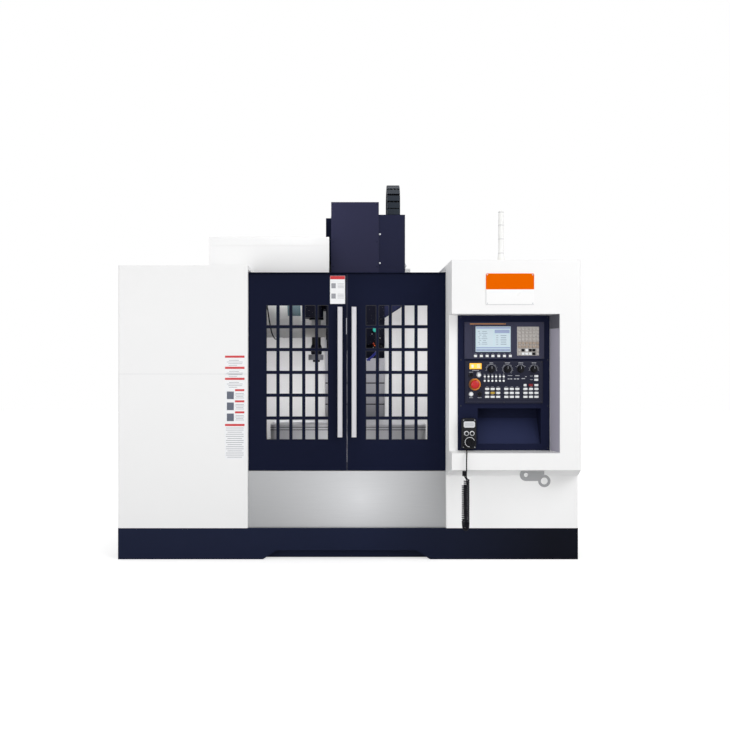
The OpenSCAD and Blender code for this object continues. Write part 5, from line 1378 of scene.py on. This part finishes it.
eyes = stencil("eye_bolt_shape", eye_bolt, 40)
copies("cabinet_eye_bolts", eyes,
       [(x, y, gear_high.z) for x in (gear_low.x + 0.045, 0.435) for y in (0.835, 1.085)], TO_UP, 1, zinc)
copies("column_eye_bolts", eyes, [(x, 0.540, column_high.z) for x in (-0.110, 0.205)], TO_UP, 1.2, zinc)

# Electrical cabinet from outside: switch plate, lever, lock, vents, gasket and cable glands
door_low, door_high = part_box("cabinet_door")
SWITCH = middle("main_switch")
LEVER_X = 0.410
VENTS = [(x, z) for x in (-0.250, -0.060) for z in (0.470, 1.640)]
with new_piece("switch_plate", beacon_yellow, "cabinet_door") as bm:
    hole, edge, foot = [], [], []
    for a in full_turn(48):
        square = 0.049 / max(abs(math.cos(a)), abs(math.sin(a)))
        for corners, r, y in ((hole, 0.0395, 0.0006), (edge, square, 0.0006), (foot, square, -0.0002)):
            corners.append(bm.verts.new((SWITCH.x + r * math.cos(a), door_high.y + y,
                                         SWITCH.z + r * math.sin(a))))
    join_rings(bm, [hole, edge, foot])
with new_piece("door_lever", chrome_ring, "cabinet_door", 40) as bm:
    add_box(bm, (LEVER_X - 0.008, door_high.y - 0.006, 1.000), (LEVER_X + 0.008, door_high.y + 0.008, 1.118),
            0.0045, 3)
with new_piece("door_lock", black_oxide, "cabinet_door", 40) as bm:
    add_lathe(bm, [(0.0085, -0.004), (0.0085, 0.0105), (0.0070, 0.0115), (0.0, 0.0115)],
              (LEVER_X, door_high.y, 1.012), TO_BACK, 24)
# Dark plates behind the slats: painted shade in the gaps of the vents.
with new_piece("door_vent_backs", dark_paint, "cabinet_door") as bm:
    for x, z in VENTS:
        add_box(bm, (x - 0.079, door_high.y - 0.0002, z - 0.011),
                (x + 0.079, door_high.y + 0.0006, z + 0.151))
copies("door_vent_slats", bar_shape, [(x, door_high.y, z + 0.020 * i) for x, z in VENTS for i in range(8)],
       TO_BACK, (0.150, 0.0095, 0.0050), white, "cabinet_door")
with new_piece("door_vent_frames", white, "cabinet_door") as bm:
    for x, z in VENTS:
        add_frame(bm, (x - 0.088, z - 0.020, x + 0.088, z + 0.160), 0.010, door_high.y - 0.0003,
                  door_high.y + 0.003, facing_front)
with new_piece("door_gasket", seal_rubber) as bm:
    add_frame(bm, (door_low.x + 0.012, door_low.z + 0.002, door_high.x - 0.002, door_high.z - 0.002), 0.012,
              door_low.y - 0.0006, door_low.y + 0.0002, facing_front)
with new_piece("cable_entry_plate", zinc, smooth=40) as bm:
    add_box(bm, (gear_high.x, 0.850, 1.560), (gear_high.x + 0.006, 1.080, 1.800), 0.002, 2)
copies("cable_glands", button_shape,
       [(gear_high.x + 0.006, y, z) for y in (0.890, 0.965, 1.040) for z in (1.610, 1.680, 1.750)],
       TO_RIGHT, (0.017, 0.017, 0.018), black_plastic)

# Electrical cabinet inside, seen when its door is open: drives, breakers, wire ducts and looms
DRIVES_X = [-0.310 + 0.165 * i for i in range(4)]
DRIVE_Y, DRIVE_W, DRIVE_FACE = 1.000, 0.130, 0.0040
BREAKERS = [(-0.298 + 0.0182 * i, z) for i in range(37) for z in (0.905, 1.075)]
BREAKER_Y, DUCT_BACK, DUCT_FRONT = 0.900, 0.8138, 0.8740
DUCTS_Z = (0.785, 0.968, 1.152, 1.708)
with new_piece("drive_faces", dark_paint, smooth=40) as bm:
    for x in DRIVES_X:
        add_box(bm, (x + 0.006, DRIVE_Y - 0.0002, 1.296), (x + DRIVE_W - 0.006, DRIVE_Y + DRIVE_FACE, 1.682),
                0.0015, 2)
    add_box(bm, (-0.300, 0.9898, 0.512), (-0.010, 0.9935, 0.748), 0.0015, 2)
copies("drive_readouts", cap_shape, [(x + DRIVE_W / 2, DRIVE_Y + DRIVE_FACE, 1.640) for x in DRIVES_X],
       TO_BACK, (0.060, 0.026, 0.002), drum_window)
copies("drive_sockets", cap_shape,
       [(x + 0.028 + 0.037 * col, DRIVE_Y + DRIVE_FACE, 1.585 - 0.050 * row)
        for x in DRIVES_X for col in range(3) for row in range(3)],
       TO_BACK, (0.026, 0.034, 0.006), black_plastic)
copies("drive_terminals", cap_shape,
       [(x + 0.016 + 0.0245 * i, DRIVE_Y + 0.0002, 1.268) for x in DRIVES_X for i in range(5)],
       TO_BACK, (0.020, 0.040, 0.010), grey_key)
copies("breaker_bodies", cap_shape, [(x, BREAKER_Y, z) for x, z in BREAKERS], TO_BACK,
       (0.0172, 0.078, 0.012), window_grey)
copies("breaker_levers", cap_shape, [(x, BREAKER_Y + 0.012, z + 0.004) for x, z in BREAKERS], TO_BACK,
       (0.0080, 0.014, 0.010), black_plastic)
with new_piece("wire_ducts", legend_grey, smooth=40) as bm:
    for z in DUCTS_Z:
        add_box(bm, (-0.345, DUCT_BACK, z), (0.405, DUCT_FRONT, z + 0.042), 0.0015, 2)
    add_box(bm, (-0.356, DUCT_BACK, 0.470), (-0.322, DUCT_FRONT, 1.780), 0.0015, 2)
copies("duct_slots", cap_shape,
       [(-0.335 + 0.0155 * i, DUCT_FRONT, z + 0.021) for i in range(48) for z in DUCTS_Z],
       TO_BACK, (0.0045, 0.030, 0.0006), dark_paint)
with new_piece("drive_cables", hose_black, smooth=60) as bm:
    for start in [x + 0.030 + 0.035 * i for x in DRIVES_X for i in range(3)]:
        add_tube(bm, smooth_path([(start, 0.985, 1.262), (start, 1.000, 1.225),
                                  (start + 0.004, 0.960, 1.196), (start + 0.006, 0.880, 1.176)], 5),
                 0.0042, 8)

# Coolant tank: chip screen, level gauge, handles, lid screws, delivery pipe and the pump's conduit
TANK_Y, LID_Z = 0.985, 0.300
GAUGE_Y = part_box("coolant_tank")[1].y
PIPE_X, PIPE_Z, PIPE_R = 0.730, 0.352, 0.0170
copies("chip_screen", bar_shape, [(-0.800 + 0.0240 * i, TANK_Y, 0.268) for i in range(25)],
       TO_UP, (0.0045, 0.205, 0.010), zinc)
with new_piece("chip_tray", dark_paint, smooth=30) as bm:
    add_box(bm, (-0.812, 0.884, 0.262), (-0.208, 1.086, 0.2685), 0.001, 1)
with new_piece("level_gauge", black_plastic, smooth=40) as bm:
    add_box(bm, (0.520, GAUGE_Y - 0.0002, 0.085), (0.548, GAUGE_Y + 0.012, 0.245), 0.004, 2)
with new_piece("level_glass", beacon_yellow, smooth=40) as bm:
    add_box(bm, (0.529, GAUGE_Y + 0.0110, 0.105), (0.539, GAUGE_Y + 0.0135, 0.225), 0.001, 2)


def tank_handle(bm):
    half = [(0.055, 0, 0), (0.055, 0, 0.020), (0.045, 0, 0.030)]
    add_tube(bm, smooth_path([(-x, y, z) for x, y, z in half] + half[::-1], 5), 0.0045, 8)


handle_shape = stencil("tank_handle_shape", tank_handle, 60)
copies("tank_handles", handle_shape, [(x, TANK_Y, LID_Z) for x in (-0.080, 0.270)], TO_UP, 1, zinc)
copies("tank_lid_screws", dome_shape,
       [(x, y, LID_Z) for x in (-0.160, 0.010, 0.180, 0.350, 0.500) for y in (0.845, 1.130)],
       TO_UP, 0.0055, zinc)
with new_piece("delivery_pipe", zinc, smooth=40) as bm:
    add_tube(bm, [(PIPE_X, y, PIPE_Z) for y in (0.912, 0.880, 0.850, BACK_Y + 0.001)], PIPE_R, 20)
    add_lathe(bm,
              [(PIPE_R, 0.0), (0.036, 0.0), (0.036, 0.008), (0.026, 0.010), (0.025, 0.026), (PIPE_R, 0.027)],
              (PIPE_X, BACK_Y + 0.0005, PIPE_Z), TO_BACK, 28)
conduit("pump_conduit", [(0.590, TANK_Y, 0.340), (0.560, TANK_Y, 0.345), (0.520, TANK_Y, 0.372),
                         (0.4795, TANK_Y, 0.380)], 0.0095, 0.0052, 0.0010, hose_black)
copies("pump_fan_slots", bar_shape,
       [(PIPE_X + 0.040 * math.cos(a), TANK_Y + 0.040 * math.sin(a), 0.5860) for a in full_turn(16)],
       TO_UP, (0.007, 0.007, 0.0010), wiper_rubber)

# Cable chain from its foot beside the column over the bend to the head, with the cables in it
chain_low, chain_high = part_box("cable_chain")
CHAIN_X, CHAIN_HALF = (chain_low.x + chain_high.x) / 2, (chain_high.x - chain_low.x) / 2
CHAIN_R, FRONT_LEG, REAR_LEG = 0.125, 0.190, 0.440
CHAIN_TOP = chain_high.z - 0.150
CHAIN_END = 1.900
LINK_PITCH = 0.0465


def chain_at(s):
    """Point and heading of the chain's centre line at distance s."""
    rise, bend = CHAIN_TOP - chain_low.z, math.pi * CHAIN_R
    if s < rise:
        return Vector((CHAIN_X, REAR_LEG, chain_low.z + s)), Vector((0, 0, 1))
    if s < rise + bend:
        a = (s - rise) / CHAIN_R
        return (Vector((CHAIN_X, REAR_LEG - CHAIN_R * (1 - math.cos(a)), CHAIN_TOP + CHAIN_R * math.sin(a))),
                Vector((0, -math.sin(a), math.cos(a))))
    return Vector((CHAIN_X, FRONT_LEG, CHAIN_TOP - (s - rise - bend))), Vector((0, 0, 1))


def chain_link(bm):
    for side in (-1, 1):
        x0, x1 = sorted((side * (CHAIN_HALF - 0.0005), side * (CHAIN_HALF - 0.0055)))
        add_box(bm, (x0, -0.0235, -0.0225), (x1, 0.0235, 0.0225), 0.004, 1)
        add_lathe(bm, [(0.0090, -0.002), (0.0090, 0.0004), (0.0, 0.0004)],
                  (side * (CHAIN_HALF - 0.0006), 0, 0.0205), (side, 0, 0), 12)
    for y in (-0.0220, 0.0220):
        add_box(bm, (0.0045 - CHAIN_HALF, y - 0.0018, -0.0200), (CHAIN_HALF - 0.0045, y + 0.0018, 0.0200),
                0.0012, 1)
    for x in (-0.014, 0.014):
        add_box(bm, (x - 0.0012, -0.020, -0.0085), (x + 0.0012, 0.020, 0.0085))


chain_length = 2 * CHAIN_TOP - chain_low.z - CHAIN_END + math.pi * CHAIN_R
link_count = round(chain_length / LINK_PITCH)
links = [(*chain_at((i + 0.5) * chain_length / link_count), 1) for i in range(link_count)]
chain = scatter("cable_chain_links", stencil("chain_link_shape", chain_link, 30), links, chain_plastic, None)
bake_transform(chain)
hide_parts("cable_chain")
bm = bmesh.new()
for x, r in ((-0.029, 0.0085), (0.0, 0.0075), (0.026, 0.0095)):
    run = [chain_at(chain_length * share)[0] + Vector((x, 0, 0)) for share in spread(0.004, 0.996, 61)]
    add_tube(bm, run, r, 8)
cables = from_bmesh("chain_cables", bm, hose_black, 60)
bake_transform(cables)

# Way bellows in front of the saddle: a folded cloth with a skirt at each side
way_low, way_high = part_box("front_bellows")
FOLDS, FOLD_DEPTH, CLOTH_T, SKIRT_T = 14, 0.020, 0.0022, 0.0025
fold = (way_high.y - way_low.y) / FOLDS
top = []
for y in [way_low.y + i * fold for i in range(FOLDS)]:
    top += [(y, way_high.z - FOLD_DEPTH), (y + 0.35 * fold, way_high.z - 0.0015),
            (y + 0.5 * fold, way_high.z), (y + 0.65 * fold, way_high.z - 0.0015)]
top.append((way_high.y, way_high.z - FOLD_DEPTH))
cloth = top + [(y, max(z - CLOTH_T, way_low.z)) for y, z in reversed(top)]
skirt = top + [(y, way_low.z if z < way_high.z - 0.01 else way_low.z + 0.002) for y, z in reversed(top)]
bm = bmesh.new()
add_prism(bm, cloth, way_low.x, way_high.x, side_on)
for x in (way_low.x, way_high.x - SKIRT_T):
    add_prism(bm, skirt, x, x + SKIRT_T, side_on)
bellows = from_bmesh("way_bellows", bm, bellows_cloth, 20)
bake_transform(bellows)
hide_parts("front_bellows")
